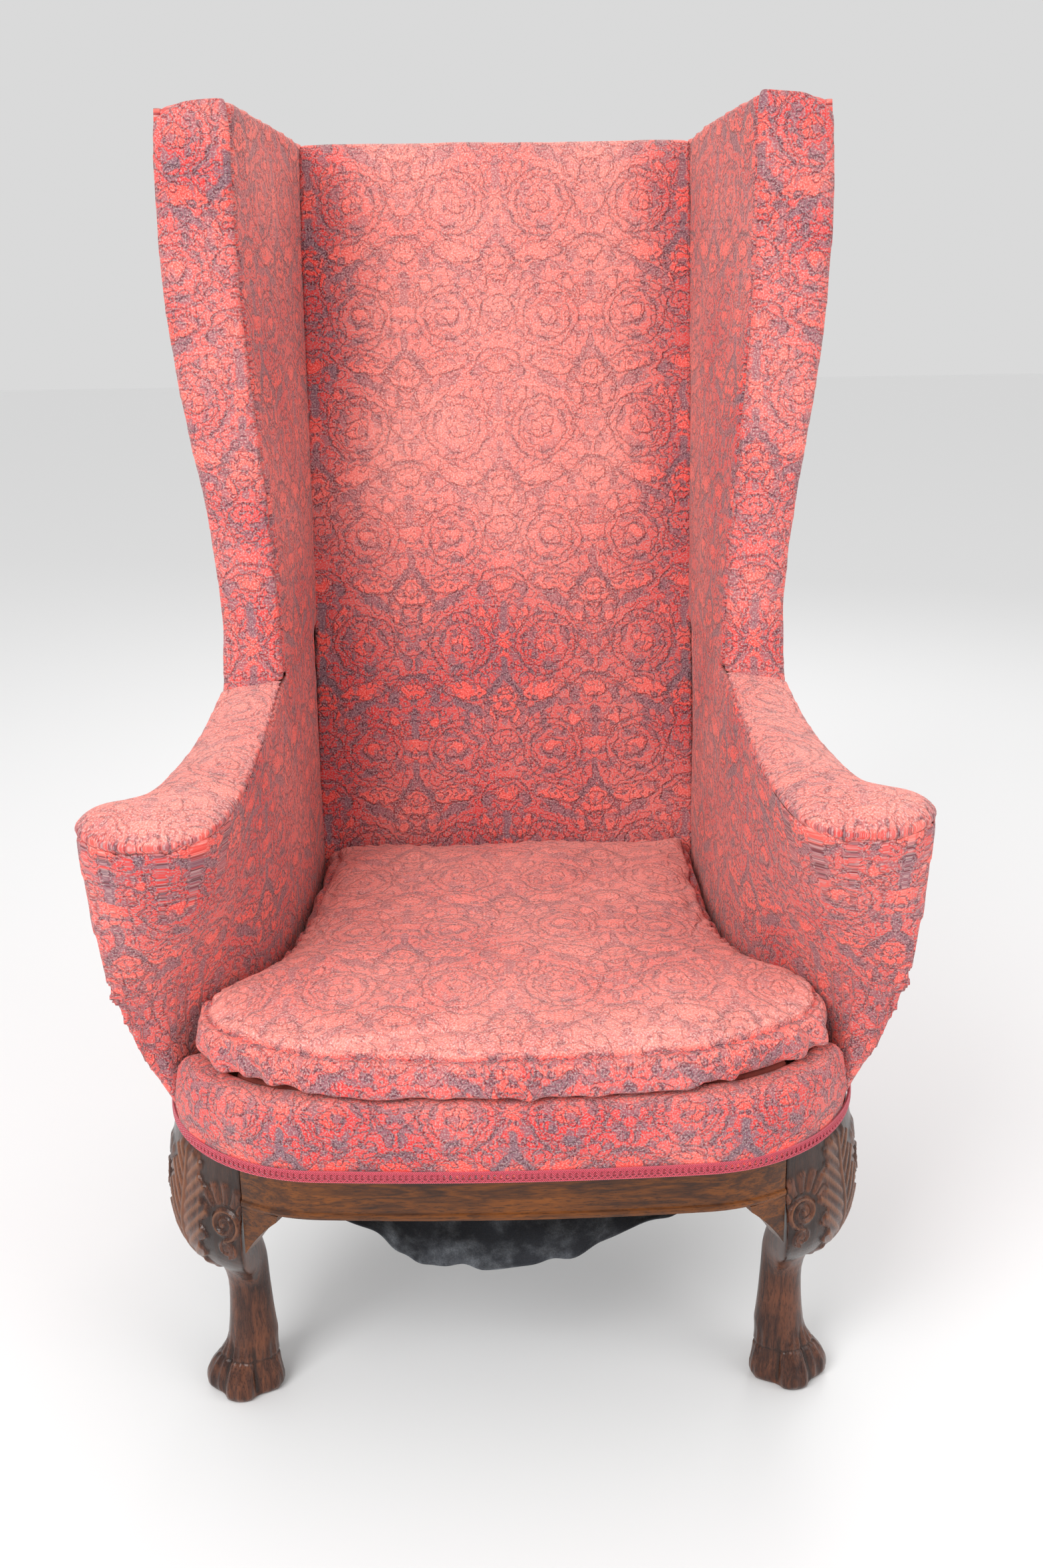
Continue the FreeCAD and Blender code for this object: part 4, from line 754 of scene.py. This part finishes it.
def border_rule(points, normals):
    over = np.maximum(seat_inset(points) - 0.003, 0.0) * (points[:, 2] > 0.36)
    return round_seat(points), points[:, 2] - BORDER_PATCH_Z + over


def cushion_rule(points, normals):
    top = np.abs(normals[:, 2]) > 0.62
    across = np.where(top, points[:, 0], round_seat(points))
    up = np.where(top, points[:, 1] + 0.05, points[:, 2] - 0.448)
    return across, up


# Covers

FULLNESS = 0.0009
COVER_LUMPS, COVER_CREASES = 0.0006, 0.0003
CREASES_PER_METRE = 22.0


def puffed(piece, seed, lump, crease):
    """Small hollows and ripples that stuffing and use leave in a cover."""
    mesh = piece.data
    points = places(mesh)
    move = FULLNESS + lump * ripple(points, 7.0, seed) + crease * ripple(points, CREASES_PER_METRE, seed + 1)
    move_to(mesh, points + facing(mesh) * move[:, None])
    return piece


def cover(name, nodes, rule, wear_and_light, voxel=0.0, rounds=4, levels=2, seed=1, fit=None):
    """A stuffed cover that stands for its CAD nodes, with their shape, drawn to its neighbours by fit."""
    piece = from_frame(name, *nodes, levels=levels)
    if voxel:
        remeshed(piece, voxel, rounds)
    if fit:
        move_to(piece.data, fit(places(piece.data)))
    puffed(piece, seed, COVER_LUMPS, COVER_CREASES)
    lay_cloth(piece, rule)
    mark(piece, "wear_and_light", wear_and_light(places(piece.data), facing(piece.data)))
    finish_piece(piece, VELVET)
    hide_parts(*nodes)
    return piece


def back_wear_and_shade(points, normals):
    """The upper and middle back is faded, the foot and the edges keep their unfaded colour, which at the
    edges also stands for painted shade.
    """
    up = smooth_step(0.55, 0.95, points[:, 2])
    inwards = 1 - smooth_step(0.12, 0.215, np.abs(points[:, 0]))
    behind = smooth_step(0.0, 0.6, normals[:, 1])
    return 0.12 + 0.55 * up * inwards + 0.12 * inwards - 0.1 * behind + 0.12 * ripple(points, 5.0, 3)


# Paler on upward faces from wear and a painted sheen; paler high up from wear.
def side_wear_and_sheen(points, normals):
    worn = 0.18 + 0.35 * smooth_step(0.1, 0.8, normals[:, 2]) + 0.12 * smooth_step(0.75, 1.2, points[:, 2])
    return worn + 0.1 * ripple(points, 5.0, 5)


# Paler on upward faces from wear and a painted sheen.
def top_wear_and_sheen(points, normals):
    return 0.25 + 0.55 * smooth_step(0.3, 0.95, normals[:, 2]) + 0.08 * ripple(points, 9.0, 7)


def facing_wear(points, normals):
    return 0.3 + 0.12 * ripple(points, 8.0, 9)


# Paler on upward faces from wear and a painted sheen.
def border_wear_and_sheen(points, normals):
    return 0.12 + 0.3 * smooth_step(0.3, 0.9, normals[:, 2]) + 0.08 * ripple(points, 9.0, 11)


def back_fit(points):
    """Edges of the back drawn against the wings and arms."""
    points[:, 0] *= 1.0 + 0.016 * smooth_step(0.15, 0.21, np.abs(points[:, 0]))
    return points


def facing_fit(points):
    """Foot of the ribbon carried down on to the arm top."""
    outwards = np.clip((np.abs(points[:, 0]) - 0.236) / 0.060, 0.0, 1.0)
    points[:, 2] -= smooth_step(0.745, 0.707, points[:, 2]) * (0.004 + 0.016 * outwards)
    shoulder = smooth_step(0.300, 0.338, np.abs(points[:, 0])) * smooth_step(1.235, 1.272, points[:, 2])
    points[:, 2] -= 0.013 * shoulder
    return points


cover("back_cover", ("inside_back_pad", "crest_pad"), back_rule, back_wear_and_shade, voxel=0.004, rounds=2, seed=21,
      fit=back_fit)
cover("outside_back_cover", ("outside_back_panel",), back_rule, side_wear_and_sheen, levels=3, seed=23)
cover("border_cover", ("seat_border",), border_rule, border_wear_and_sheen, voxel=0.004, rounds=2, levels=0, seed=25)
for side, sign in SIDES:
    cover(f"side_cover_{side}", (f"inside_wing_pad_{side}", f"inside_arm_pad_{side}", f"wing_top_pad_{side}"),
          side_rule, side_wear_and_sheen, voxel=0.004, rounds=8, seed=31)
    cover(f"arm_top_cover_{side}", (f"arm_top_pad_{side}",), flat_rule, top_wear_and_sheen, voxel=0.003,
          seed=33)
    cover(f"wing_facing_cover_{side}", (f"wing_facing_{side}",), facing_rule, facing_wear,
          voxel=0.003, rounds=8, seed=35, fit=facing_fit)
    cover(f"outside_arm_cover_{side}", (f"outside_arm_panel_{side}",), outer_rule, side_wear_and_sheen,
          voxel=0.003, rounds=9, seed=37)
    cover(f"outside_wing_cover_{side}", (f"outside_wing_panel_{side}",), outer_rule, side_wear_and_sheen, levels=3,
          seed=39)


# Loose cushion

CUSHION_VOXEL = 0.005
SHRUNK_BY = 0.0012
SWELL_CAP = 0.004
SWELL_FRAMES = 20
CUSHION_BACK_Y, CUSHION_DEPTH = 0.14, 0.532
BOXING_AT_BACK, BOXING_FALL = 0.064, 0.022
SEAM_Z_SHARE = 0.9


def swollen(piece, cap):
    """The cushion blown up a little as cloth, with no point moved further than the cap."""
    scene = bpy.context.scene
    before = places(piece.data)
    cloth = piece.modifiers.new("cloth", "CLOTH")
    cloth.settings.use_pressure = True
    cloth.settings.uniform_pressure_force = 4.0
    cloth.settings.effector_weights.gravity = 0.0
    cloth.settings.tension_stiffness = 30.0
    cloth.settings.bending_stiffness = 2.0
    cloth.point_cache.frame_start = 1
    cloth.point_cache.frame_end = SWELL_FRAMES
    for number in range(1, SWELL_FRAMES + 1):
        scene.frame_set(number)
    settled(piece)
    scene.frame_set(1)
    move = places(piece.data) - before
    size = np.linalg.norm(move, axis=1)
    move *= np.minimum(1.0, cap / np.maximum(size, 1e-9))[:, None]
    move_to(piece.data, before + move)


def loose_cushion():
    """Slack bell-shaped cushion: sewn top and boxing, puckered seams and a worn crease at the front."""
    piece = from_frame("cushion_cover", "seat_cushion", levels=2)
    remeshed(piece, CUSHION_VOXEL, 3)
    move_to(piece.data, places(piece.data) - facing(piece.data) * SHRUNK_BY)
    swollen(piece, SWELL_CAP)
    mesh = subdivided(piece, 1).data
    points, normals = places(mesh), facing(mesh)
    run = round_seat(points)
    forward = (CUSHION_BACK_Y - points[:, 1]) / CUSHION_DEPTH
    seam_z = CREASE_Z + (BOXING_AT_BACK - BOXING_FALL * forward) * SEAM_Z_SHARE
    rim = 1 - smooth_step(0.35, 0.8, np.abs(normals[:, 2]))
    over = points[:, 2] - seam_z
    seam = np.exp(-(over / 0.0022) ** 2) * smooth_step(0.1, 0.5, np.hypot(normals[:, 0], normals[:, 1]))
    pucker = np.sin(2 * math.pi * (run / 0.021 + 0.35 * ripple(points, 9.0, 43)))
    near = np.exp(-(over / 0.012) ** 2)
    drape = np.sin(2 * math.pi * (run / 0.047 + 0.8 * ripple(points, 6.0, 45)))
    move = 0.0018 * rim - 0.0045 * seam + 0.0014 * pucker * near + 0.0019 * drape * rim
    move += 0.0018 * ripple(points, 6.0, 41) + 0.0008 * ripple(points, 26.0, 47)
    top = smooth_step(0.5, 0.9, normals[:, 2])
    worn_fold = np.exp(-((points[:, 1] + 0.345 + 0.01 * np.sin(points[:, 0] * 30)) / 0.005) ** 2)
    worn_fold *= smooth_step(-0.20, -0.15, points[:, 0]) * (1 - smooth_step(-0.06, -0.02, points[:, 0]))
    move -= 0.0035 * worn_fold * top
    flat = smooth_step(-0.5, -0.9, normals[:, 2])
    move *= 1 - flat
    points += normals * move[:, None]
    forwards = smooth_step(-0.14, -0.22, points[:, 1])
    outer = smooth_step(0.030, 0.018, seat_inset(points))
    slump = np.exp(-((points[:, 2] - CREASE_Z) / 0.016) ** 2) * forwards * outer
    sideways = normals[:, :2] / np.maximum(np.linalg.norm(normals[:, :2], axis=1), 0.05)[:, None]
    points[:, :2] += sideways * (0.008 * slump * (1 - 0.5 * flat))[:, None]
    points[:, 2] = np.maximum(points[:, 2] - 0.003 * slump, CREASE_Z + 0.0005)
    move_to(mesh, points)
    lay_cloth(piece, cushion_rule)
    # Paler on top from wear and a painted sheen, deeper along the seam groove as painted shade.
    mark(piece, "wear_and_light", 0.22 + 0.5 * top + 0.2 * near * (1 - flat) + 0.1 * ripple(points, 6.0, 49)
         + 0.3 * worn_fold - 0.5 * seam)
    finish_piece(piece, VELVET, "cushion")
    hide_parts("seat_cushion")


loose_cushion()


# Gimp braid round the lower edge of the covers

def braid_tree():
    """Interlaced rows of small loops along a path, between two edge cords."""
    tree = bpy.data.node_groups.new("gimp braid", "GeometryNodeTree")
    face = tree.interface
    face.new_socket("Path", in_out="INPUT", socket_type="NodeSocketGeometry")
    sizes = {}
    for name in ("Loop pitch", "Loop radius", "Cord radius", "Edge height"):
        sizes[name] = face.new_socket(name, in_out="INPUT", socket_type="NodeSocketFloat")
    silk = face.new_socket("Silk", in_out="INPUT", socket_type="NodeSocketMaterial")
    face.new_socket("Braid", in_out="OUTPUT", socket_type="NodeSocketGeometry")
    nodes, links = tree.nodes, tree.links
    given = nodes.new("NodeGroupInput")
    joined = nodes.new("GeometryNodeJoinGeometry")
    cord = nodes.new("GeometryNodeCurvePrimitiveCircle")
    cord.inputs["Resolution"].default_value = 5
    links.new(given.outputs["Cord radius"], cord.inputs["Radius"])
    for direction in (-1.0, 1.0):
        lift = nodes.new("ShaderNodeMath")
        lift.operation = "MULTIPLY"
        lift.inputs[1].default_value = direction
        links.new(given.outputs["Edge height"], lift.inputs[0])
        offset = nodes.new("ShaderNodeCombineXYZ")
        links.new(lift.outputs[0], offset.inputs[2])
        raised = nodes.new("GeometryNodeTransform")
        links.new(given.outputs["Path"], raised.inputs["Geometry"])
        links.new(offset.outputs[0], raised.inputs["Translation"])
        edge = nodes.new("GeometryNodeCurveToMesh")
        edge.inputs["Fill Caps"].default_value = True
        links.new(raised.outputs[0], edge.inputs["Curve"])
        links.new(cord.outputs["Curve"], edge.inputs["Profile Curve"])
        links.new(edge.outputs[0], joined.inputs[0])
    ring = nodes.new("GeometryNodeCurvePrimitiveCircle")
    ring.inputs["Resolution"].default_value = 9
    links.new(given.outputs["Loop radius"], ring.inputs["Radius"])
    thread = nodes.new("GeometryNodeCurvePrimitiveCircle")
    thread.inputs["Resolution"].default_value = 4
    links.new(given.outputs["Cord radius"], thread.inputs["Radius"])
    loop = nodes.new("GeometryNodeCurveToMesh")
    links.new(ring.outputs["Curve"], loop.inputs["Curve"])
    links.new(thread.outputs["Curve"], loop.inputs["Profile Curve"])
    tangent = nodes.new("GeometryNodeInputTangent")
    along = nodes.new("FunctionNodeAlignRotationToVector")
    along.axis = "X"
    along.pivot_axis = "Z"
    links.new(tangent.outputs[0], along.inputs["Vector"])
    spaced = nodes.new("GeometryNodeResampleCurve")
    spaced.mode = "LENGTH"
    links.new(given.outputs["Path"], spaced.inputs["Curve"])
    links.new(given.outputs["Loop pitch"], spaced.inputs["Length"])
    for tilt in (-0.5, 0.5):
        stood = nodes.new("GeometryNodeTransform")
        stood.inputs["Rotation"].default_value = (math.pi / 2, 0.0, 0.0)
        stood.inputs["Scale"].default_value = (0.85, 1.0, 1.2)
        links.new(loop.outputs[0], stood.inputs["Geometry"])
        leaned = nodes.new("GeometryNodeTransform")
        leaned.inputs["Rotation"].default_value = (0.0, tilt, 0.12 * tilt)
        leaned.inputs["Translation"].default_value = (tilt * 0.0014, 0.0, 0.0)
        links.new(stood.outputs[0], leaned.inputs["Geometry"])
        rows = nodes.new("GeometryNodeInstanceOnPoints")
        links.new(spaced.outputs["Curve"], rows.inputs["Points"])
        links.new(leaned.outputs[0], rows.inputs["Instance"])
        links.new(along.outputs[0], rows.inputs["Rotation"])
        links.new(rows.outputs[0], joined.inputs[0])
    real = nodes.new("GeometryNodeRealizeInstances")
    links.new(joined.outputs[0], real.inputs[0])
    dyed = nodes.new("GeometryNodeSetMaterial")
    links.new(real.outputs[0], dyed.inputs["Geometry"])
    links.new(given.outputs["Silk"], dyed.inputs["Material"])
    out = nodes.new("NodeGroupOutput")
    links.new(dyed.outputs[0], out.inputs[0])
    return tree, sizes, silk


def lofted(name, rings):
    """Closed form through rings of points, flat at its two ends."""
    edit = bmesh.new()
    rows = [[edit.verts.new(point) for point in ring] for ring in rings]
    for lower, upper in zip(rows, rows[1:]):
        for i in range(len(lower)):
            edit.faces.new((lower[i - 1], lower[i], upper[i], upper[i - 1]))
    edit.faces.new(rows[0])
    edit.faces.new(rows[-1])
    bmesh.ops.recalc_face_normals(edit, faces=edit.faces)
    return new_object(name, mesh_from(name, edit))


def gimp_braid():
    """Tape with its loops and cords, glued over the lower edge of the covers."""
    centre_z = BRAID_BOTTOM_Z + BRAID_HEIGHT / 2
    data = bpy.data.curves.new("braid path", "CURVE")
    data.dimensions = "3D"
    path = seat_line(0.0006, 0.006)
    spline = data.splines.new("POLY")
    spline.points.add(len(path) - 1)
    for point, (x, y) in zip(spline.points, path):
        point.co = (x, y, centre_z, 1.0)
    loops = new_object("braid loops", data)
    tree, sizes, silk = braid_tree()
    modifier = loops.modifiers.new("gimp", "NODES")
    modifier.node_group = tree
    for name, value in (("Loop pitch", 0.0058), ("Loop radius", 0.0041), ("Cord radius", 0.001),
                        ("Edge height", BRAID_HEIGHT / 2 - 0.0008)):
        modifier[sizes[name].identifier] = value
    modifier[silk.identifier] = SILK
    view = bpy.context.evaluated_depsgraph_get()
    mesh = bpy.data.meshes.new_from_object(loops.evaluated_get(view), depsgraph=view)
    bpy.data.objects.remove(loops)
    half = BRAID_HEIGHT / 2 - 0.0006
    outer, inner = seat_line(0.0014, 0.006), seat_line(0.0026, 0.006)
    count = min(len(outer), len(inner))
    rings = []
    for i in range(count):
        a = outer[round(i * (len(outer) - 1) / (count - 1))]
        b = inner[round(i * (len(inner) - 1) / (count - 1))]
        rings.append([(a[0], a[1], centre_z - half), (a[0], a[1], centre_z + half),
                      (b[0], b[1], centre_z + half), (b[0], b[1], centre_z - half)])
    tape = lofted("gimp_braid_cover", rings)
    edit = bmesh.new()
    edit.from_mesh(tape.data)
    edit.from_mesh(mesh)
    edit.to_mesh(tape.data)
    edit.free()
    bpy.data.meshes.remove(mesh)
    finish_piece(tape, SILK)
    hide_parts("gimp_braid")


gimp_braid()


# Carved cabriole legs

KNEE_DEG = 58.0
SCROLL_RUN, SCROLL_Z, SCROLL_RADIUS = 58.0, 245.0, 17.0
VOLUTE_RUN, VOLUTE_Z, VOLUTE_RADIUS = 60.0, 218.0, 10.0
LEAF_TOP_Z, LEAF_TIP_Z, LEAF_HALF_WIDTH = 300.0, 158.0, 33.0


def spiral(run, rise, radius, width):
    """Height of a raised spiral rim with an eye at its middle, from 0 to 1."""
    away = np.hypot(run, rise)
    turn = np.mod(np.arctan2(rise, run) / (2 * math.pi) + 0.25, 1.0)
    rim = radius - 0.42 * radius * turn
    inner = rim - 0.42 * radius
    ridge = np.maximum(np.exp(-((away - rim) / width) ** 2), 0.8 * np.exp(-((away - inner) / width) ** 2))
    return np.maximum(ridge, np.exp(-(away / (0.2 * radius)) ** 2)) * smooth_step(radius + 3, radius, away)


def knee_relief(points):
    """Carving on the knee in millimetres: a veined leaf on the ridge, scrolls and flutes beside it."""
    x, y, z = points.T * 1000.0
    turn = np.degrees(np.arctan2(x - 170.0, -(y + 211.0)))
    run = np.radians(turn - KNEE_DEG) * 171.0
    wide = np.abs(run)
    down = np.clip((LEAF_TOP_Z - z) / (LEAF_TOP_Z - LEAF_TIP_Z), 0.0, 1.0)
    lobes = 1 + 0.17 * np.sin(2 * math.pi * (down * 6.0 + 0.1))
    half = LEAF_HALF_WIDTH * np.sin(math.pi * np.clip(0.16 + 0.84 * down, 0, 1)) ** 0.75 * lobes + 0.5
    inside = smooth_step(-2.5, 1.0, half - wide) * smooth_step(LEAF_TIP_Z - 3, LEAF_TIP_Z + 4, z)
    veins = 0.5 + 0.5 * np.cos(2 * math.pi * (down * 9.5 + wide / 13.0))
    leaf = inside * (1.5 + 1.3 * veins * smooth_step(2.0, 6.0, wide) + 1.3 * np.exp(-(wide / 2.2) ** 2))
    leaf *= smooth_step(311.0, 300.0, z)
    scroll = 2.7 * spiral(wide - SCROLL_RUN, z - SCROLL_Z, SCROLL_RADIUS, 2.3)
    volute = 2.0 * spiral(wide - VOLUTE_RUN, z - VOLUTE_Z, VOLUTE_RADIUS, 1.8)
    away = np.hypot(wide - SCROLL_RUN, z - SCROLL_Z)
    round_scroll = np.arctan2(z - SCROLL_Z, wide - SCROLL_RUN)
    flutes = np.abs(np.cos(round_scroll * 8.0)) * smooth_step(18, 22, away) * smooth_step(46, 36, away)
    flutes *= smooth_step(0.1, 0.5, np.sin(round_scroll)) * smooth_step(311.0, 303.0, z)
    return np.maximum.reduce([leaf, scroll, volute, 1.9 * flutes]), turn


FOOT_CENTRE = (0.283, -0.268)
TOE_TURN_DEG = 6.0
TOES_DEG, GROOVES_DEG = (-62.0, 0.0, 62.0), (-31.0, 31.0)


def foot_relief(points):
    """Toes in millimetres: a ridged tongue down each, grooves between, and a line above the pad, and painted
    shade for the grooves and that line.
    """
    x, y = points[:, 0] - FOOT_CENTRE[0], -(points[:, 1] - FOOT_CENTRE[1])
    turn = np.degrees(np.arctan2(x, y))
    z = points[:, 2] * 1000.0
    low = smooth_step(66.0, 50.0, z) * smooth_step(2.0, 8.0, z)
    toes, painted_groove_shade = np.zeros(len(z)), np.zeros(len(z))
    for middle in TOES_DEG:
        away = turn - middle - TOE_TURN_DEG
        ridge = np.exp(-(away / 5.0) ** 2)
        edge = np.exp(-((np.abs(away) - 17.0) / 3.5) ** 2)
        toes += low * (1.5 * ridge + 1.0 * edge)
    for middle in GROOVES_DEG:
        groove = np.exp(-((turn - middle - TOE_TURN_DEG) / 5.0) ** 2) * low
        toes -= 2.2 * groove
        painted_groove_shade -= 0.4 * groove
    line = np.exp(-((z - 43.0 + 0.05 * np.abs(turn)) / 1.5) ** 2) * (np.abs(turn) < 120)
    return toes - 1.2 * line, painted_groove_shade - 0.3 * line


def carved_leg(side, sign):
    """Cabriole leg with its knee carving and ridged three-toed foot."""
    piece = from_frame(f"carved_leg_{side}", f"front_leg_{side}", levels=1, crease=0.5)
    remeshed(piece, 0.0018, 4)
    mesh = piece.data
    points, normals = places(mesh), facing(mesh)
    points[:, 0] *= sign
    normals[:, 0] *= sign
    relief, turn = knee_relief(points)
    angle = np.radians(turn)
    outward = normals[:, 0] * np.sin(angle) - normals[:, 1] * np.cos(angle)
    relief *= smooth_step(0.15, 0.5, outward) * smooth_step(0.148, 0.160, points[:, 2])
    relief *= smooth_step(0.3135, 0.3105, points[:, 2])
    toes, painted_groove_shade = foot_relief(points)
    points += normals * ((relief * 1.35 + toes) * 0.001)[:, None]
    points[:, 0] *= sign
    move_to(mesh, points)
    on_knee = smooth_step(0.15, 0.5, outward) * smooth_step(0.15, 0.17, points[:, 2])
    # Carving height for the walnut's painted light: low in hollows and grooves for painted shade, high on the
    # relief for a painted highlight.
    height = 0.4 + on_knee * (relief / 3.0 - 0.4) + painted_groove_shade
    mark(piece, "carving", height)
    finish_piece(piece, CARVED_WALNUT)
    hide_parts(f"front_leg_{side}")


for side, sign in SIDES:
    carved_leg(side, sign)


# Torn cloth under the seat

CLOTH_FOLDS = ((-1.0, 0.0), (-0.83, 0.05), (-0.64, 0.34), (-0.48, 0.58), (-0.32, 1.0), (-0.19, 0.86),
               (-0.05, 0.98), (0.08, 0.84), (0.19, 0.93), (0.36, 0.62), (0.55, 0.42), (0.81, 0.08),
               (1.0, 0.0))
CLOTH_ROWS = ((0.0, 1.0), (0.065, 0.78), (0.19, 0.42), (0.35, 0.14), (0.53, 0.03), (1.0, 0.0))
CLOTH_TOP_Z = 0.2646
CLOTH_SAG = 0.096
CLOTH_THICKNESS = 0.0009


def bottom_cloth():
    """Thin black cloth tacked under the rails, torn at the front where it hangs in soft folds."""
    low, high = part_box("bottom_cloth")
    edit = bmesh.new()
    rows = []
    for row, hang in CLOTH_ROWS:
        y = low[1] + row * (high[1] - low[1])
        rows.append([edit.verts.new((share * high[0], y, CLOTH_TOP_Z - CLOTH_SAG * drop * hang))
                     for share, drop in CLOTH_FOLDS])
    for front, rear in zip(rows, rows[1:]):
        for i in range(len(front) - 1):
            edit.faces.new((front[i], front[i + 1], rear[i + 1], rear[i]))
    piece = new_object("bottom_cloth_sheet", mesh_from("bottom_cloth_sheet", edit))
    mesh = subdivided(piece, 4).data
    points = places(mesh)
    hanging = smooth_step(low[1] + 0.20, low[1], points[:, 1])
    points[:, 2] += hanging * (0.0022 * ripple(points, 18.0, 61) - 0.002)
    points[:, 1] += hanging * 0.0035 * ripple(points, 22.0, 63)
    edge = smooth_step(low[1] + 0.012, low[1], points[:, 1])
    points[:, 2] += edge * 0.0022 * ripple(points, 26.0, 65)
    points[:, 2] = np.minimum(points[:, 2], CLOTH_TOP_Z)
    move_to(mesh, points)
    thick = piece.modifiers.new("thick", "SOLIDIFY")
    thick.thickness = CLOTH_THICKNESS
    thick.offset = -1.0
    settled(piece)
    finish_piece(piece, DUST_CLOTH)
    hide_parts("bottom_cloth")


bottom_cloth()


# Frame pieces keep their CAD shape

def stuffing():
    """Stuffed platform on the springs, under the cushion."""
    piece = from_frame("seat_platform", "seat_stuffing", levels=0)
    remeshed(piece, 0.005, 3)
    puffed(piece, 71, 0.0005, 0.0004)
    finish_piece(piece, LINEN)
    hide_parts("seat_stuffing")


stuffing()

FINISHES = (
    (RAIL_WALNUT, ("front_rail", "front_knee_bracket")),
    (SIDE_WALNUT, ("side_rail", "side_knee_bracket")),
    (LEG_WALNUT, ("back_post",)),
    (FRAME_WOOD, ("rear_rail", "crest_rail", "back_tack_rail", "corner_braces", "arm_post", "arm_board",
                  "arm_rear_rail", "arm_tack_rail", "wing_post", "wing_top_rail")),
    (JUTE, ("seat_webbing", "back_webbing")),
    (HESSIAN, ("spring_hessian", "back_hessian")),
    (STEEL, ("seat_springs", "corner_brace_screws")),
)
for material, stems in FINISHES:
    for stem in stems:
        for node in (stem, stem + "_left", stem + "_right"):
            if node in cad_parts:
                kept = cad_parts[node].data.materials
                kept.clear()
                kept.append(material)


# Floor, light and surroundings

def set_stage():
    """Pale floor and surroundings, and plain soft light."""
    scene = bpy.context.scene
    scene.view_settings.view_transform = "Standard"
    edit = bmesh.new()
    bmesh.ops.create_grid(edit, x_segments=1, y_segments=1, size=12.0)
    mesh = mesh_from("floor", edit)
    floor = new_object("floor", mesh)
    material, _, shader = new_material("pale floor")
    set_inputs(shader, {"Base Color": (0.86, 0.86, 0.86, 1.0), "Roughness": 0.6})
    mesh.materials.append(material)
    world = bpy.data.worlds.new("studio")
    world.use_nodes = True
    tree = world.node_tree
    rays = tree.nodes.new("ShaderNodeLightPath")
    seen = tree.nodes.new("ShaderNodeMath")
    seen.operation = "MAXIMUM"
    tree.links.new(rays.outputs["Is Camera Ray"], seen.inputs[0])
    tree.links.new(rays.outputs["Is Glossy Ray"], seen.inputs[1])
    strength = tree.nodes.new("ShaderNodeMapRange")
    set_inputs(strength, {"To Min": 0.78, "To Max": 0.7})
    tree.links.new(seen.outputs[0], strength.inputs["Value"])
    background = tree.nodes["Background"]
    background.inputs["Color"].default_value = (1.0, 1.0, 1.0, 1.0)
    tree.links.new(strength.outputs[0], background.inputs["Strength"])
    scene.world = world
    for name, place, aim, size, power in (("key", (-1.6, -2.6, 2.6), (0, 0, 0.7), 1.8, 84.0),
                                          ("fill", (2.6, -1.8, 1.7), (0, 0, 0.7), 2.2, 28.0),
                                          ("rim", (0.6, 2.4, 2.4), (0, 0, 0.9), 1.6, 22.0)):
        data = bpy.data.lights.new(name, "AREA")
        data.shape = "SQUARE"
        data.size = size
        data.energy = power
        lamp = bpy.data.objects.new(name, data)
        scene.collection.objects.link(lamp)
        forward = (Matrix.Translation(aim).translation - Matrix.Translation(place).translation).normalized()
        lamp.matrix_world = Matrix.Translation(place) @ forward.to_track_quat("-Z", "Y").to_matrix().to_4x4()


set_stage()
